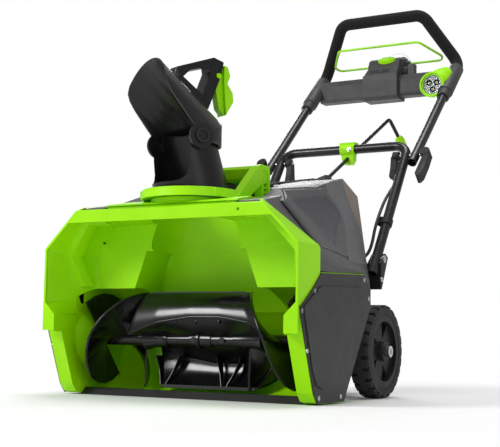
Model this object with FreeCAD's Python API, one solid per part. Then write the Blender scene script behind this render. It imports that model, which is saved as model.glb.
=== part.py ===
import FreeCAD, Part
import math
import os

# Cordless single-stage snow thrower, 20 inch class.  Millimetres, +Z up, the auger mouth faces -Y and
# the handle goes to +Y.  The origin is on the ground straight below the auger shaft, mid-width.

V = FreeCAD.Vector

# ---- driving dimensions -------------------------------------------------------------------------
WALL = 3.5                    # moulded shell thickness
HALF_WIDTH = 267.0            # outer half-width of the hood
MOUTH_Y = -120.0              # front plane of the hood
SHOULDER_Z = 272.0            # height where the hood's corner chamfer starts
HOOD_TOP_Z = 352.0            # flat top of the hood
DECK_Z = 362.0                # raised deck under the chute
CHAMFER_SUM = HALF_WIDTH + SHOULDER_Z

AUGER_Z = 106.0               # auger shaft height
AUGER_R = 91.0                # tip radius of the rubber blades
FLIGHT_R = 87.0               # radius of the spiral flights
CHAMBER_R = 97.0              # inner radius of the auger chamber
SHAFT_R = 8.0
HUB_R = 12.0                  # plastic hub on the auger shaft
BLADE_X = 108.0               # half-width of the middle blades
BOLT_X = (-72, 0, 60)         # bolts through the paddle hub
BOX_INNER_X = 238.0           # inner wall of the side boxes
COVER_X = 267.05              # inner face of the side covers
# y, z of the screws in each side cover
SCREW_SPOTS = [(-60, 192), (-108, 158), (-86, 92), (-42, 12), (46, 12), (146, 222), (168, 188)]

CHUTE_Y = -30.0               # chute axis
CHUTE_R = 76.0                # chute radius at its base
GEAR_R = 88.0                 # outer radius of the chute's crown gear
CHUTE_TURN = -26.0            # direction the chute points at rest, from straight ahead
DEFLECTOR_PIVOT = (-60.0, 470.0)   # y, z of the deflector hinge, chute pointing ahead
DEFLECTOR_R = 75.0
DEFLECTOR_LEAN = (-0.794, 0.607)   # y, z direction of the deflector's trough

WHEEL_Y, WHEEL_R = 270.0, 90.0
WHEEL_IN_X, WHEEL_OUT_X = 222.0, 262.0
AXLE_R = 6.0

MOTOR_Y, MOTOR_Z, MOTOR_R = 138.0, 205.0, 46.0
AUGER_PULLEY_R, MOTOR_PULLEY_R = 52.0, 13.0
BELT_X0, BELT_X1 = 246.0, 256.0

TUBE_R = 11.0                 # handle tubes
LOWER_X = 162.0               # lower handle legs
UPPER_X = 186.0               # upper handle legs
CAM_OFFSET = 25.0             # from the upper leg's axis out to the cam pin
LOWER_BASE = (456.0, 281.0)   # y, z
CROSSBAR = (647.0, 562.0)
FOLD = (628.0, 534.5)         # y, z of the folding bolts
GRIP_LOW = (935.0, 818.0)
UPPER_ANGLE = math.atan2(GRIP_LOW[1] - FOLD[1], GRIP_LOW[0] - FOLD[0])
GRIP_TOP = (870.0, 938.0)
GRIP_TOP_X = 112.0
FOAM_R = 15.0

SHAFT_REAR = (530.0, 469.0)   # y, z of the universal joint of the chute drive
SHAFT_FRONT = (52.75, 384.2)  # y, z of the pinion's mesh point on the shaft's axis
CRANK_END = (28.0, 857.0, 673.0)    # the crank's bend
CRANK_ARM = (32.5, 57.2, -96.4)     # from the bend to the end of the knob, at rest
GEAR_TEETH, PINION_TEETH = 52, 8
CRANK_R = 4.5

CABLE_R = 3.5
BAIL = (927.0, 830.0)         # y, z of the bail hinge
BUTTON = V(0, 910, 832)       # base of the start button
LIGHT = (153.5, 822.0, 744.0)
LIGHT_R = 31.2
LENS_R = 24.0
SLEEVE_R = 18.5

BATTERY_X, BATTERY_Y0, BATTERY_Y1 = 78.0, 300.0, 418.0
BATTERY_Z0, BATTERY_Z1 = 262.0, 352.0


# ---- helpers ------------------------------------------------------------------------------------
def box(x0, y0, z0, x1, y1, z1):
    return Part.makeBox(x1 - x0, y1 - y0, z1 - z0, V(x0, y0, z0))


def rod(r, a, b):
    a, b = V(*a), V(*b)
    return Part.makeCylinder(r, (b - a).Length, a, b - a)


def disc_x(r, x0, x1, y, z):
    return rod(r, (x0, y, z), (x1, y, z))


def ring_x(r_out, r_in, x0, x1, y, z):
    return disc_x(r_out, x0, x1, y, z).cut(disc_x(r_in, x0 - 1, x1 + 1, y, z))


def prism(axis, points, a, b):
    """Polygon in the plane across the axis, pushed from a to b along it."""
    place = {"X": lambda u, v: V(a, u, v), "Y": lambda u, v: V(u, a, v), "Z": lambda u, v: V(u, v, a)}[axis]
    push = {"X": V(b - a, 0, 0), "Y": V(0, b - a, 0), "Z": V(0, 0, b - a)}[axis]
    corners = [place(u, v) for u, v in points]
    return Part.Face(Part.makePolygon(corners + corners[:1])).extrude(push)


def loft(stations):
    """Ruled solid through closed polygons given as lists of points."""
    wires = []
    for corners in stations:
        corners = [V(*p) for p in corners]
        wires.append(Part.makePolygon(corners + corners[:1]))
    return Part.makeLoft(wires, True, True)


def both(half):
    """Mirror a list of (x, z) half-outline points, given from the right edge to the left."""
    return half + [(-x, z) for x, z in reversed(half)]


def mirror_x(shape):
    return shape.mirror(V(0, 0, 0), V(1, 0, 0))


def pair(shape):
    return shape.fuse(mirror_x(shape))


def union(shapes):
    result = shapes[0]
    return result.multiFuse(shapes[1:]) if len(shapes) > 1 else result


def corner_path(points, radii):
    """Straight runs joined by tangent arcs; radii holds one value per inner point."""
    points = [V(*p) for p in points]
    edges, start = [], points[0]
    for i in range(1, len(points) - 1):
        before = (points[i] - points[i - 1]).normalize()
        after = (points[i + 1] - points[i]).normalize()
        turn = before.getAngle(after)
        reach = radii[i - 1] * math.tan(turn / 2)
        first, last = points[i] - before * reach, points[i] + after * reach
        inward = (after - before).normalize()
        middle = points[i] + inward * (radii[i - 1] / math.cos(turn / 2) - radii[i - 1])
        if (first - start).Length > 1e-6:
            edges.append(Part.LineSegment(start, first).toShape())
        edges.append(Part.Arc(first, middle, last).toShape())
        start = last
    edges.append(Part.LineSegment(start, points[-1]).toShape())
    return Part.Wire(edges)


def sweep(points, radii, r):
    path = corner_path(points, radii)
    first = V(*points[0])
    heading = (V(*points[1]) - first).normalize()
    section = Part.Wire([Part.makeCircle(r, first, heading)])
    return path.makePipeShell([section], True, False)


def cord_radii(points):
    """Arc radius at each inner point: 0.45 of the shorter run over the tangent of half the turn."""
    radii = []
    for a, b, c in zip(points, points[1:], points[2:]):
        before, after = V(*b) - V(*a), V(*c) - V(*b)
        radii.append(0.45 * min(before.Length, after.Length) / math.tan(before.getAngle(after) / 2))
    return radii


def tube(points, radii, r, wall):
    return sweep(points, radii, r).cut(sweep(points, radii, r - wall))


def save(name, shape):
    os.makedirs("parts", exist_ok=True)
    solids = shape.Solids
    if len(solids) == 1:
        shape = solids[0]
    else:
        shape = Part.makeCompound(solids)
    shape.exportStep(os.path.join("parts", name + ".step"))
    print(name, len(solids), round(shape.Volume / 1000, 1), "cm3", "ok" if shape.isValid() else "INVALID")


# ---- hood ---------------------------------------------------------------------------------------
def hood_profile(inset, top):
    """Closed outline of the hood's cross-section, x and z, shrunk by inset."""
    width = HALF_WIDTH - inset
    total = CHAMFER_SUM - inset * math.sqrt(2)
    return both([(width, 120.0), (width, total - width), (total - top, top)])


# y, z outline of the side boxes that carry the auger bearings and the belt
BOX_OUTLINE = [(MOUTH_Y, 272), (MOUTH_Y, 168), (-62, 20), (-50, 6), (-34, 2), (60, 2), (120, 88),
               (178, 172), (178, 208), (146, 233), (-32, 226), (-38, 272)]


def box_outline(inset):
    """The part of the side box outline below the shoulder, shrunk by inset."""
    return [(MOUTH_Y + 1 + inset, 166), (-60 + inset, 20 + inset), (-48 + inset / 2, 7 + inset),
            (-33, 2 + inset), (59 - inset / 2, 2 + inset), (120 - inset, 89 + inset / 2), (178 - inset, 173),
            (178 - inset, 207 - inset / 2), (146 - inset / 3, 233 - inset), (-31, 226 - inset), (-70, 200)]


def funnel(grow, lead=0.0):
    """Space between the mouth and the back panel, grown outward by grow and forward by lead."""
    front = both([(241 + grow, 118), (241 + grow, 150), (263 + grow, 172), (263 + grow, 270 + grow / 2),
                  (201 + grow, 332 + grow)])
    back = both([(238 + grow, 118), (238 + grow, 150), (217 + grow, 198), (227 + grow, 262 + grow / 2),
                 (187 + grow / 2, 322 + grow)])
    y_front, y_back = MOUTH_Y + 4 - lead, -15 + max(grow, 0)
    return loft([[(x, y_front, z) for x, z in front], [(x, y_back, z) for x, z in back]])


def rounded_ring(half_x, y0, y1, z, corner):
    """Rounded rectangle with eight edges, starting at its right side."""
    c = corner
    k = c * (1 - math.sqrt(0.5))
    x, edges = half_x, []
    corners = [((x, y1 - c), (x - k, y1 - k), (x - c, y1)), ((-x + c, y1), (-x + k, y1 - k), (-x, y1 - c)),
               ((-x, y0 + c), (-x + k, y0 + k), (-x + c, y0)), ((x - c, y0), (x - k, y0 + k), (x, y0 + c))]
    for i, (a, m, b) in enumerate(corners):
        edges.append(Part.Arc(V(*a, z), V(*m, z), V(*b, z)).toShape())
        edges.append(Part.LineSegment(V(*b, z), V(*corners[(i + 1) % 4][0], z)).toShape())
    return Part.Wire(edges)


def eight_arcs(r, y, z, short):
    """Circle cut into eight arcs that match rounded_ring; short is the half-angle of a corner arc."""
    edges = []
    for quarter in range(4):
        mid = math.radians(45 + 90 * quarter)
        spans = [(mid - short, mid + short), (mid + short, mid + math.pi / 2 - short)]
        for a, b in spans:
            pts = [V(r * math.cos(t), y + r * math.sin(t), z) for t in (a, (a + b) / 2, b)]
            edges.append(Part.Arc(*pts).toShape())
    return Part.Wire(edges)


def channel(grow, over):
    """Discharge passage from the chamber up to the chute, ending over above the deck."""
    low = loft([[(x, y, z) for x, y in [(w + grow, -16), (w + grow, y1 + grow), (-w - grow, y1 + grow),
                                        (-w - grow, -16)]]
                for w, y1, z in [(152, 82, 150), (108, 66, 272)]])
    ring = rounded_ring(108 + grow, -16 - grow, 66 + grow, 272, 24)
    neck = Part.makeLoft([ring, eight_arcs(CHUTE_R - 4 + grow, CHUTE_Y, DECK_Z - 8, math.radians(24))], True)
    mouth = rod(CHUTE_R - 4 + grow, (0, CHUTE_Y, DECK_Z - 8), (0, CHUTE_Y, DECK_Z + over))
    return low, neck.fuse(mouth)


def hood_shell():
    outer = prism("Y", hood_profile(0, HOOD_TOP_Z), MOUTH_Y, -36)
    inner = prism("Y", hood_profile(WALL, HOOD_TOP_Z - WALL), MOUTH_Y + 4, 0)
    skin = outer.cut(inner)
    bevel = [(MOUTH_Y - 1, 340), (MOUTH_Y - 1, 380), (-98, 380), (-98, 353)]
    skin = skin.cut(prism("X", bevel, -300, 300))
    seam = [(-38, 268), (-108, HOOD_TOP_Z), (-108, 500), (60, 500), (60, 268)]
    for side in (1, -1):
        skin = skin.cut(prism("X", seam, side * 140, side * 300))
    below = [(MOUTH_Y + 4, 100), (MOUTH_Y + 4, 166), (-37, 166), (-37, 226), (0, 226), (0, 100)]
    skin = skin.cut(prism("X", below, -300, 300))
    # raised deck under the chute and the carry handle
    deck_line = [(-104, 345), (-98, 352.5), (-62, 359), (-50, DECK_Z), (112, DECK_Z), (112, DECK_Z - 4),
                 (-50, DECK_Z - 4), (-62, 355), (-96, 348)]
    deck = prism("X", deck_line, -136, 136)
    flank = [(-104, 345), (-98, 352.5), (-62, 359), (-50, DECK_Z), (112, DECK_Z), (112, 330), (-36, 330)]
    for side in (1, -1):
        deck = deck.fuse(prism("X", flank, side * 132.5, side * 136))
    deck = deck.fuse(prism("X", [(108.5, 300), (112, 300), (112, DECK_Z), (108.5, DECK_Z)], -136, 136))

    walls = funnel(WALL)
    chamber = disc_x(CHAMBER_R + WALL, -BOX_INNER_X, BOX_INNER_X, 0, AUGER_Z)
    keep = [(-16, -10), (-16, 60), (-11.5, 60), (-11.5, 215), (120, 215), (120, -10)]
    chamber = chamber.common(prism("X", keep, -BOX_INNER_X, BOX_INNER_X))
    low_out, neck_out = channel(WALL, -1)
    low_in, neck_in = channel(0, 2)
    side = prism("X", BOX_OUTLINE, BOX_INNER_X, HALF_WIDTH)
    # the upper part of the side outline belongs to the thin wall only
    side = side.cut(box(0, -200, 172, BOX_INNER_X + 60, -32, 300))
    side = side.cut(prism("X", box_outline(3), 241, HALF_WIDTH + 1))
    body = union([skin, deck, walls, chamber, low_out, neck_out, side, mirror_x(side)])

    body = body.cut(funnel(0)).cut(box(-BOX_INNER_X, MOUTH_Y - 5, -5, BOX_INNER_X, -16, 151))
    mouth = both([(241, 100), (241, 150), (263, 172), (263, 270), (214, 319)])
    body = body.cut(prism("Y", mouth, MOUTH_Y - 5, MOUTH_Y + 5))
    body = body.cut(disc_x(CHAMBER_R, -BOX_INNER_X, BOX_INNER_X, 0, AUGER_Z))
    body = body.cut(low_in).cut(neck_in)
    body = body.cut(rod(3, (150, MOUTH_Y - 2, 331), (150, MOUTH_Y + 8, 331)))
    for side_sign in (1, -1):
        body = body.cut(rod(3, (side_sign * 208, -18, 290), (side_sign * 208, -8, 290)))

    # bent rib on each funnel wall, cone round each auger bearing
    rib_line = [(-90, 322), (-68, 322), (-52, 258), (-32, 204), (-52, 204), (-76, 258)]
    rib = funnel(1).cut(funnel(-9, 10.0)).common(prism("X", rib_line, 150, 300))
    cone = Part.makeCone(60, 30, 20, V(BOX_INNER_X + 2, 0, AUGER_Z), V(-1, 0, 0))
    cone = cone.common(box(200, -100, 3, 260, 200, 200))
    body = body.fuse(pair(rib)).fuse(pair(cone))
    body = body.cut(disc_x(16.0, -250, 250, 0, AUGER_Z))
    return body.cut(disc_x(8, 230, 245, MOTOR_Y, MOTOR_Z)).removeSplitter()


def scraper_bar():
    outline = [(-38, 0), (44, 0), (44, 5), (-17.5, 5), (-17.5, 13), (-24, 13)]
    return prism("X", outline, -236, 236)


def side_cover():
    """Plate over the right side box with a raised panel and countersunk screw seats."""
    plate = prism("X", [(-113, 152), (-60, 20), (-46, 3), (60, 3), (119, 88), (176.5, 173), (176.5, 207),
                        (145, 231.5), (-34, 224.5), (-68, 196), (-113, 164)], COVER_X, COVER_X + 3)
    panel = prism("X", [(-104, 156), (-70, 60), (-54, 34), (-34, 27), (22, 30), (36, 38), (116, 158),
                        (142, 198), (134, 207), (-38, 202), (-52, 196), (-104, 165)], COVER_X, COVER_X + 5.5)
    cover = plate.fuse(panel)
    for y, z in SCREW_SPOTS:
        cover = cover.cut(disc_x(4.4, COVER_X + 1.2, COVER_X + 9, y, z))
    return cover


# ---- covers -------------------------------------------------------------------------------------
# y, then half-outline x, z from the bottom edge over the shoulder to mid-top
BODY_STATIONS = [
    (-36, [(266.5, 228), (266.5, 246), (266.5, 268.5), (196, 353)]),
    (34, [(266.5, 228), (266, 240), (250, 268), (152, 386)]),
    (150, [(266.5, 235), (262, 242), (220, 268), (150, 403)]),
    (186, [(214, 178), (214, 232), (206, 268), (150, 407)]),
    (270, [(206, 150), (204, 232), (182, 270), (142, 430)]),
    (360, [(190, 140), (186, 232), (167, 272), (126, 448)]),
    (430, [(164, 140), (160, 232), (152, 275), (130, 418)]),
    (446, [(150, 142), (150, 232), (146, 275), (128, 350)]),
]


def body_solid(inset, y_ends=(0, 0)):
    stations = []
    last = len(BODY_STATIONS) - 1
    for i, (y, half) in enumerate(BODY_STATIONS):
        y += y_ends[0] if i == 0 else (y_ends[1] if i == last else 0)
        shift = [(-inset, -2 * inset), (-inset, 0), (-inset, 0), (-inset * 0.8, -inset)]
        half = [(x + dx, z + dz) for (x, z), (dx, dz) in zip(half, shift)]
        stations.append([(x, y, z) for x, z in both(half)])
    return loft(stations)


REAR_SEAM = [(238, 600), (238, 392), (300, 350), (262, 268), (470, 268), (470, 600)]
TOP_TROUGH_X = 30.0


def top_trough(grow):
    """Channel in the top of the covers for the chute drive shaft."""
    line = [(100, 600), (100, 378), (460, 441), (460, 600)]
    w = TOP_TROUGH_X + grow
    return prism("X", [(y, z - grow) for y, z in line], -w, w)


def deck_notch():
    return box(-136.5, -80, 200, 136.5, 112.5, 500)


def leg_holes():
    """The two holes in the housing where the feet of the lower handle stand."""
    foot = V(LOWER_X, LOWER_BASE[0] - 20, LOWER_BASE[1] - 29)
    way = (V(LOWER_X, *CROSSBAR) - foot).normalize()
    return pair(Part.makeCylinder(TUBE_R + 0.1, 300, foot - way * 4, way))


LID_HINGE = (447.0, 301.0)
# y, z outline of the part of the shell that is the battery lid
LID_LINE = [(348, 600), (356, 430), (374, 391), (424, 336), (446, 302), (500, 302), (500, 600)]


def shell_solid():
    shell = body_solid(0).cut(body_solid(3, (-5, -3)))
    trough = top_trough(3).cut(top_trough(0)).common(body_solid(0))
    return shell.cut(top_trough(0)).fuse(trough)


def covers():
    """Motor cover, battery housing and battery lid, cut from one shell."""
    shell = shell_solid()
    front = [(-40, 200), (-38, 272), (-108, 353), (-108, 200)]
    shell = shell.cut(prism("X", front, -300, 300)).cut(deck_notch())
    side_box = [(-34, 100), (-34, 226.5), (146.3, 233.6), (178.8, 208.6), (178.8, 100)]
    shell = shell.cut(pair(prism("X", side_box, BOX_INNER_X - 0.5, 300)))
    rear = prism("X", REAR_SEAM, -300, 300)
    lid = prism("X", LID_LINE, -300, 300)
    grommet = rod(CABLE_R + 0.3, CABLE[-2], CABLE[-1]).fuse(rod(CABLE_R + 0.3, CABLE[-3], CABLE[-2]))
    motor_cover = shell.cut(rear).cut(lid).cut(leg_holes()).cut(grommet)
    housing = shell.common(rear).cut(lid).cut(leg_holes()).cut(grommet)
    gap = [(y + 0.6, z + 0.6) for y, z in LID_LINE]
    lid_shape = shell.common(lid).common(prism("X", gap, -300, 300)).cut(top_trough(3.2))
    # two hinge knuckles on the lid turn in knuckles on the housing
    hy, hz = LID_HINGE
    housing = housing.cut(pair(box(63.5, 440, hz - 4.6, 84.5, 452, hz + 4)))
    housing = housing.fuse(pair(disc_x(3.6, 85, 95, hy, hz).fuse(box(85, 443, hz - 3.6, 95, 446, hz))))
    housing = housing.cut(pair(disc_x(1.85, 80, 93, hy, hz)))
    knuckle = disc_x(3.6, 64, 84, hy, hz).fuse(disc_x(1.8, 80, 92.5, hy, hz))
    lid_shape = lid_shape.cut(pair(disc_x(4.0, 84.2, 95.5, hy, hz))).fuse(pair(knuckle))
    return motor_cover, housing, lid_shape


def chassis_base():
    line = [(101.5, 60), (101.5, 148), (178, 148), (178, 138), (444, 138), (444, 128), (340, 62)]
    inner = [(104.5, 63), (104.5, 160), (441, 160), (441, 131), (338, 65)]
    tray = prism("X", line, -204, 204).cut(prism("X", inner, -201, 201))
    taper = [(204.1, 240), (204.1, 500), (140, 500)]
    tray = tray.cut(prism("Z", taper, 0, 300)).cut(prism("Z", [(-x, y) for x, y in taper], 0, 300))
    tray = tray.fuse(pair(ring_x(20, AXLE_R, 190, 220, WHEEL_Y, WHEEL_R)))
    bracket = box(100, 104.5, 148, 106, 190, 250).cut(disc_x(14, 90, 120, MOTOR_Y, MOTOR_Z))
    return tray.cut(disc_x(AXLE_R, -230, 230, WHEEL_Y, WHEEL_R)).fuse(bracket)


def motor_can():
    can = disc_x(MOTOR_R, 8, 100, MOTOR_Y, MOTOR_Z)
    return can.cut(disc_x(34, 12, 96, MOTOR_Y, MOTOR_Z)).cut(disc_x(9, 0, 101, MOTOR_Y, MOTOR_Z))


def controller_box():
    case = box(-130, 118, 170, -20, 178, 240)
    fins = [box(-128 + 12 * i, 178, 172, -124 + 12 * i, 188, 238) for i in range(9)]
    return union([case] + fins)


def auger_bearings():
    return pair(ring_x(15.95, SHAFT_R + 0.05, 226, 238, 0, AUGER_Z))


def drive_belt():
    """Closed belt round both pulleys, kept a running gap off them."""
    gap, thick = 0.5, 3.5
    dy, dz = MOTOR_Y, MOTOR_Z - AUGER_Z
    along = math.hypot(dy, dz)

    def outline(extra):
        big, small = AUGER_PULLEY_R + extra, MOTOR_PULLEY_R + extra
        base = math.atan2(dz, dy)
        open_angle = math.acos((big - small) / along)
        a, b = base + open_angle, base - open_angle

        def on(y, z, r, t):
            return V(BELT_X0, y + r * math.cos(t), z + r * math.sin(t))
        motor = (MOTOR_Y, MOTOR_Z, small)
        auger = (0.0, AUGER_Z, big)
        edges = [Part.LineSegment(on(*auger, a), on(*motor, a)).toShape(),
                 Part.Arc(on(*motor, a), on(*motor, base), on(*motor, b)).toShape(),
                 Part.LineSegment(on(*motor, b), on(*auger, b)).toShape(),
                 Part.Arc(on(*auger, b), on(*auger, base + math.pi), on(*auger, a)).toShape()]
        return Part.Face(Part.Wire(edges)).extrude(V(BELT_X1 - BELT_X0, 0, 0))
    return outline(gap + thick).cut(outline(gap))


def wheel_axle():
    return disc_x(AXLE_R - 0.05, -268, 268, WHEEL_Y, WHEEL_R)


def axle_caps():
    cap = disc_x(11, 268, 273, WHEEL_Y, WHEEL_R).cut(disc_x(5, 271, 274, WHEEL_Y, WHEEL_R))
    return pair(cap)


def wheel(sign):
    """Rim and tyre of one wheel; sign is +1 on the +X side."""
    y, z = WHEEL_Y, WHEEL_R
    x0, x1 = WHEEL_IN_X, WHEEL_OUT_X
    hub = ring_x(19, AXLE_R + 0.05, x0 + 1, x1 + 1, y, z)
    band = ring_x(67, 58, x0 + 3, x1 - 2, y, z)
    lip = ring_x(70.5, 58, x1 - 5, x1 - 1, y, z).fuse(ring_x(70.5, 58, x0 + 3, x0 + 7, y, z))
    spokes = []
    for i in range(5):
        spoke = prism("X", [(-13, 14), (13, 14), (24, 62), (-24, 62)], x0 + 12, x1 - 10)
        dish = rod(14, (x1 - 2, 0, 40), (x1 + 26, 0, 64))
        spoke = spoke.cut(dish)
        spoke.translate(V(0, y, z))
        spoke.rotate(V(0, y, z), V(1, 0, 0), 72 * i + 20)
        spokes.append(spoke)
    rim = union([hub, band, lip] + spokes)
    tyre = ring_x(86, 67.05, x0, x1, y, z)
    tyre = tyre.cut(ring_x(71, 60, x0 - 1, x0 + 7.05, y, z)).cut(ring_x(71, 60, x1 - 5.05, x1 + 1, y, z))
    tyre = tyre.fuse(disc_x(WHEEL_R, x0 + 2, x1 - 2, y, z).cut(disc_x(85, x0, x1, y, z)))
    grooves = []
    for i in range(24):
        for row, (a, b) in enumerate([(x0 - 1, x0 + 14), (x0 + 26, x1 + 1)]):
            cut = box(a, y - 3.5, z + 84, b, y + 3.5, z + WHEEL_R + 1)
            cut.rotate(V(0, y, z), V(1, 0, 0), 15 * i + 7.5 * row)
            grooves.append(cut)
    tyre = tyre.cut(Part.makeCompound(grooves))
    if sign < 0:
        rim, tyre = mirror_x(rim), mirror_x(tyre)
    return rim, tyre


# ---- auger --------------------------------------------------------------------------------------
def auger_shaft():
    return disc_x(SHAFT_R, -244, 262, 0, AUGER_Z)


# distance from mid-width and angle of a flight's edge, from the end of a blade to the side box
FLIGHT_LINE = [(112, 92), (130, 68), (150, 42), (168, 22), (186, 0), (198, -30), (206, -62), (212, -95),
               (216, -130)]


def flight(turn):
    """Right-hand spiral flight that leaves the end of a blade and steepens towards the side box."""
    sections = []
    for (x0, a0), (x1, a1) in zip(FLIGHT_LINE, FLIGHT_LINE[1:]):
        for step in (0, 0.5):
            sections.append((x0 + (x1 - x0) * step, a0 + (a1 - a0) * step))
    sections.append(FLIGHT_LINE[-1])
    wires = []
    for x, angle in sections:
        c, s = -math.cos(math.radians(angle + turn)), math.sin(math.radians(angle + turn))
        corners = [(x - 2.0, HUB_R - 2), (x + 2.0, HUB_R - 2), (x + 1.6, FLIGHT_R), (x - 1.6, FLIGHT_R)]
        wire = [V(px, pr * c, AUGER_Z + pr * s) for px, pr in corners]
        wires.append(Part.makePolygon(wire + wire[:1]))
    return Part.makeLoft(wires, True, True)


def auger_flights():
    """Two flights at each end, both ends turning the snow towards the middle."""
    hub = ring_x(HUB_R, SHAFT_R + 0.05, 110, 219.5, 0, AUGER_Z)
    right = union([hub, flight(0), flight(180)])
    return Part.makeCompound([right, mirror_x(right)])


def paddle_at(shape, half_turn):
    shape = shape.copy()
    shape.rotate(V(0, 0, AUGER_Z), V(1, 0, 0), 180 * half_turn)
    return shape


def auger_paddles():
    """Two broad blades swept back from the shaft, with gussets, end plates and a hub between them."""
    hub = ring_x(HUB_R, SHAFT_R + 0.05, -BLADE_X, BLADE_X, 0, AUGER_Z)
    section = [(-4, 9.5), (3, 9.5), (14, 50), (12, 80), (6, 80), (7, 51), (-8, 20)]
    blade = prism("X", section, -BLADE_X, BLADE_X)
    blade.translate(V(0, 0, AUGER_Z))
    corner = BLADE_X - 12
    trim = [(-BLADE_X, 5), (-BLADE_X, 66), (-corner, 81), (corner, 81), (BLADE_X, 66), (BLADE_X, 5)]
    blade = blade.common(prism("Y", [(x, z + AUGER_Z) for x, z in trim], -60, 60))
    webs = []
    for x in (-90, -58, 35, 80):
        web = prism("X", [(2, 9.6), (22, 12), (14, 60), (9, 60)], x - 2, x + 2)
        webs.append(web)
    sector = [(-2, 0), (-2, 90), (90, 90), (90, -15), (0, 0)]
    for x in (-BLADE_X, BLADE_X - 3):
        webs.append(disc_x(80, x, x + 3, 0, 0).common(prism("X", sector, x, x + 3)))
    for web in webs:
        web.translate(V(0, 0, AUGER_Z))
    half = union([blade] + webs)
    shape = union([hub, paddle_at(half, 0), paddle_at(half, 1)])
    shape = shape.cut(disc_x(SHAFT_R + 0.05, -BLADE_X - 20, BLADE_X + 20, 0, AUGER_Z))
    for x in BOLT_X:
        shape = shape.cut(rod(3.02, (x, -30, AUGER_Z), (x, -9, AUGER_Z)))
        shape = shape.cut(rod(5.6, (x, -30, AUGER_Z), (x, -HUB_R, AUGER_Z)))
    return shape


def paddle_edges():
    """Rubber wear blades bolted to the paddle tips."""
    edge = prism("X", [(5.9, 58), (2.2, 58), (1, 90.5), (5.3, 90.5)], -96, 96)
    edge.translate(V(0, 0, AUGER_Z))
    edge = edge.common(disc_x(AUGER_R, -150, 150, 0, AUGER_Z))
    return Part.makeCompound([paddle_at(edge, 0), paddle_at(edge, 1)])


def auger_bolts():
    bolts = []
    for x in BOLT_X:
        shank = rod(3, (x, -HUB_R - 1, AUGER_Z), (x, -9.2, AUGER_Z))
        bolts.append(shank.fuse(rod(5.5, (x, -HUB_R - 3, AUGER_Z), (x, -HUB_R - 0.05, AUGER_Z))))
    return Part.makeCompound(bolts)


def auger_pulley():
    wheel_disc = ring_x(AUGER_PULLEY_R, SHAFT_R + 0.02, BELT_X0, BELT_X1, 0, AUGER_Z)
    flange = ring_x(AUGER_PULLEY_R + 6, 20, BELT_X1 + 0.4, BELT_X1 + 2.4, 0, AUGER_Z)
    hub = ring_x(20, SHAFT_R + 0.02, BELT_X1 - 1, BELT_X1 + 2.4, 0, AUGER_Z)
    return wheel_disc.fuse(flange).fuse(hub)


def rotor():
    core = disc_x(33, 18, 90, MOTOR_Y, MOTOR_Z)
    return core.fuse(disc_x(6, 13, 262, MOTOR_Y, MOTOR_Z))


def motor_pulley():
    drum = ring_x(MOTOR_PULLEY_R, 6.02, BELT_X0 - 1, BELT_X1 + 1, MOTOR_Y, MOTOR_Z)
    return drum.fuse(ring_x(MOTOR_PULLEY_R + 5.5, 6.02, BELT_X0 - 3, BELT_X0 - 0.6, MOTOR_Y, MOTOR_Z))


# ---- carry handle -------------------------------------------------------------------------------
def carry_handle():
    bar = prism("X", [(58, 412), (64, 406), (88, 406), (94, 412), (94, 430), (88, 436), (64, 436), (58, 430)],
                -92, 92)
    end = prism("X", [(54, 434), (64, 438), (92, 438), (98, 430), (102, DECK_Z + 0.2), (70, DECK_Z + 0.2),
                      (66, 400), (8, DECK_Z + 0.2), (-28, DECK_Z + 0.2)], 78, 94)
    end = end.cut(prism("X", [(68, 428), (90, 428), (93, 372), (76, 372), (74, 396)], 84, 95))
    ribs = [prism("X", [(70, 376 + 9 * i), (95, 382 + 9 * i), (95, 379 + 9 * i), (70, 373 + 9 * i)], 80, 92)
            for i in range(6)]
    end = union([end] + [r.common(prism("X", [(66, 434), (94, 434), (98, 366), (72, 366)], 70, 96))
                         for r in ribs])
    handle = bar.fuse(end).fuse(mirror_x(end))
    return handle.cut(rod(GEAR_R + 1.5, (0, CHUTE_Y, DECK_Z - 2), (0, CHUTE_Y, 378)))


# ---- chute (built pointing straight ahead, then turned) -----------------------------------------
def turned(shape):
    shape = shape.copy()
    shape.rotate(V(0, CHUTE_Y, 0), V(0, 0, 1), CHUTE_TURN)
    return shape


def chute_tube():
    def circle(r, y, z):
        return Part.Wire([Part.makeCircle(r, V(0, y, z), V(0, 0, 1))])

    def cone(grow):
        over = 1 if grow < 0 else 0
        return Part.makeLoft([circle(CHUTE_R - 6 + grow, CHUTE_Y, 374 - over),
                              circle(CHUTE_R - 8 + grow, CHUTE_Y - 39, 498 + over)], True)
    flange = rod(CHUTE_R + 2, (0, CHUTE_Y, 372.5), (0, CHUTE_Y, 376))
    body = cone(0).fuse(flange).cut(cone(-3.2)).cut(rod(CHUTE_R - 9.2, (0, CHUTE_Y, 372), (0, CHUTE_Y, 373)))
    window = both([(38, 389), (49, 392), (57, 400), (61, 412), (64, 440), (72, 520)])
    body = body.cut(prism("Y", window, -200, CHUTE_Y - 28))
    body = body.cut(prism("X", [(-180, 476), (-40, 490), (60, 490), (60, 520), (-180, 520)], -100, 100))
    py, pz = DEFLECTOR_PIVOT
    bosses = pair(disc_x(12, 66, 71.5, py, pz))
    bosses = bosses.cut(cone(-3.2)).cut(disc_x(4.05, -90, 90, py, pz))
    return turned(body.cut(disc_x(4.05, -90, 90, py, pz)).fuse(bosses))


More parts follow.
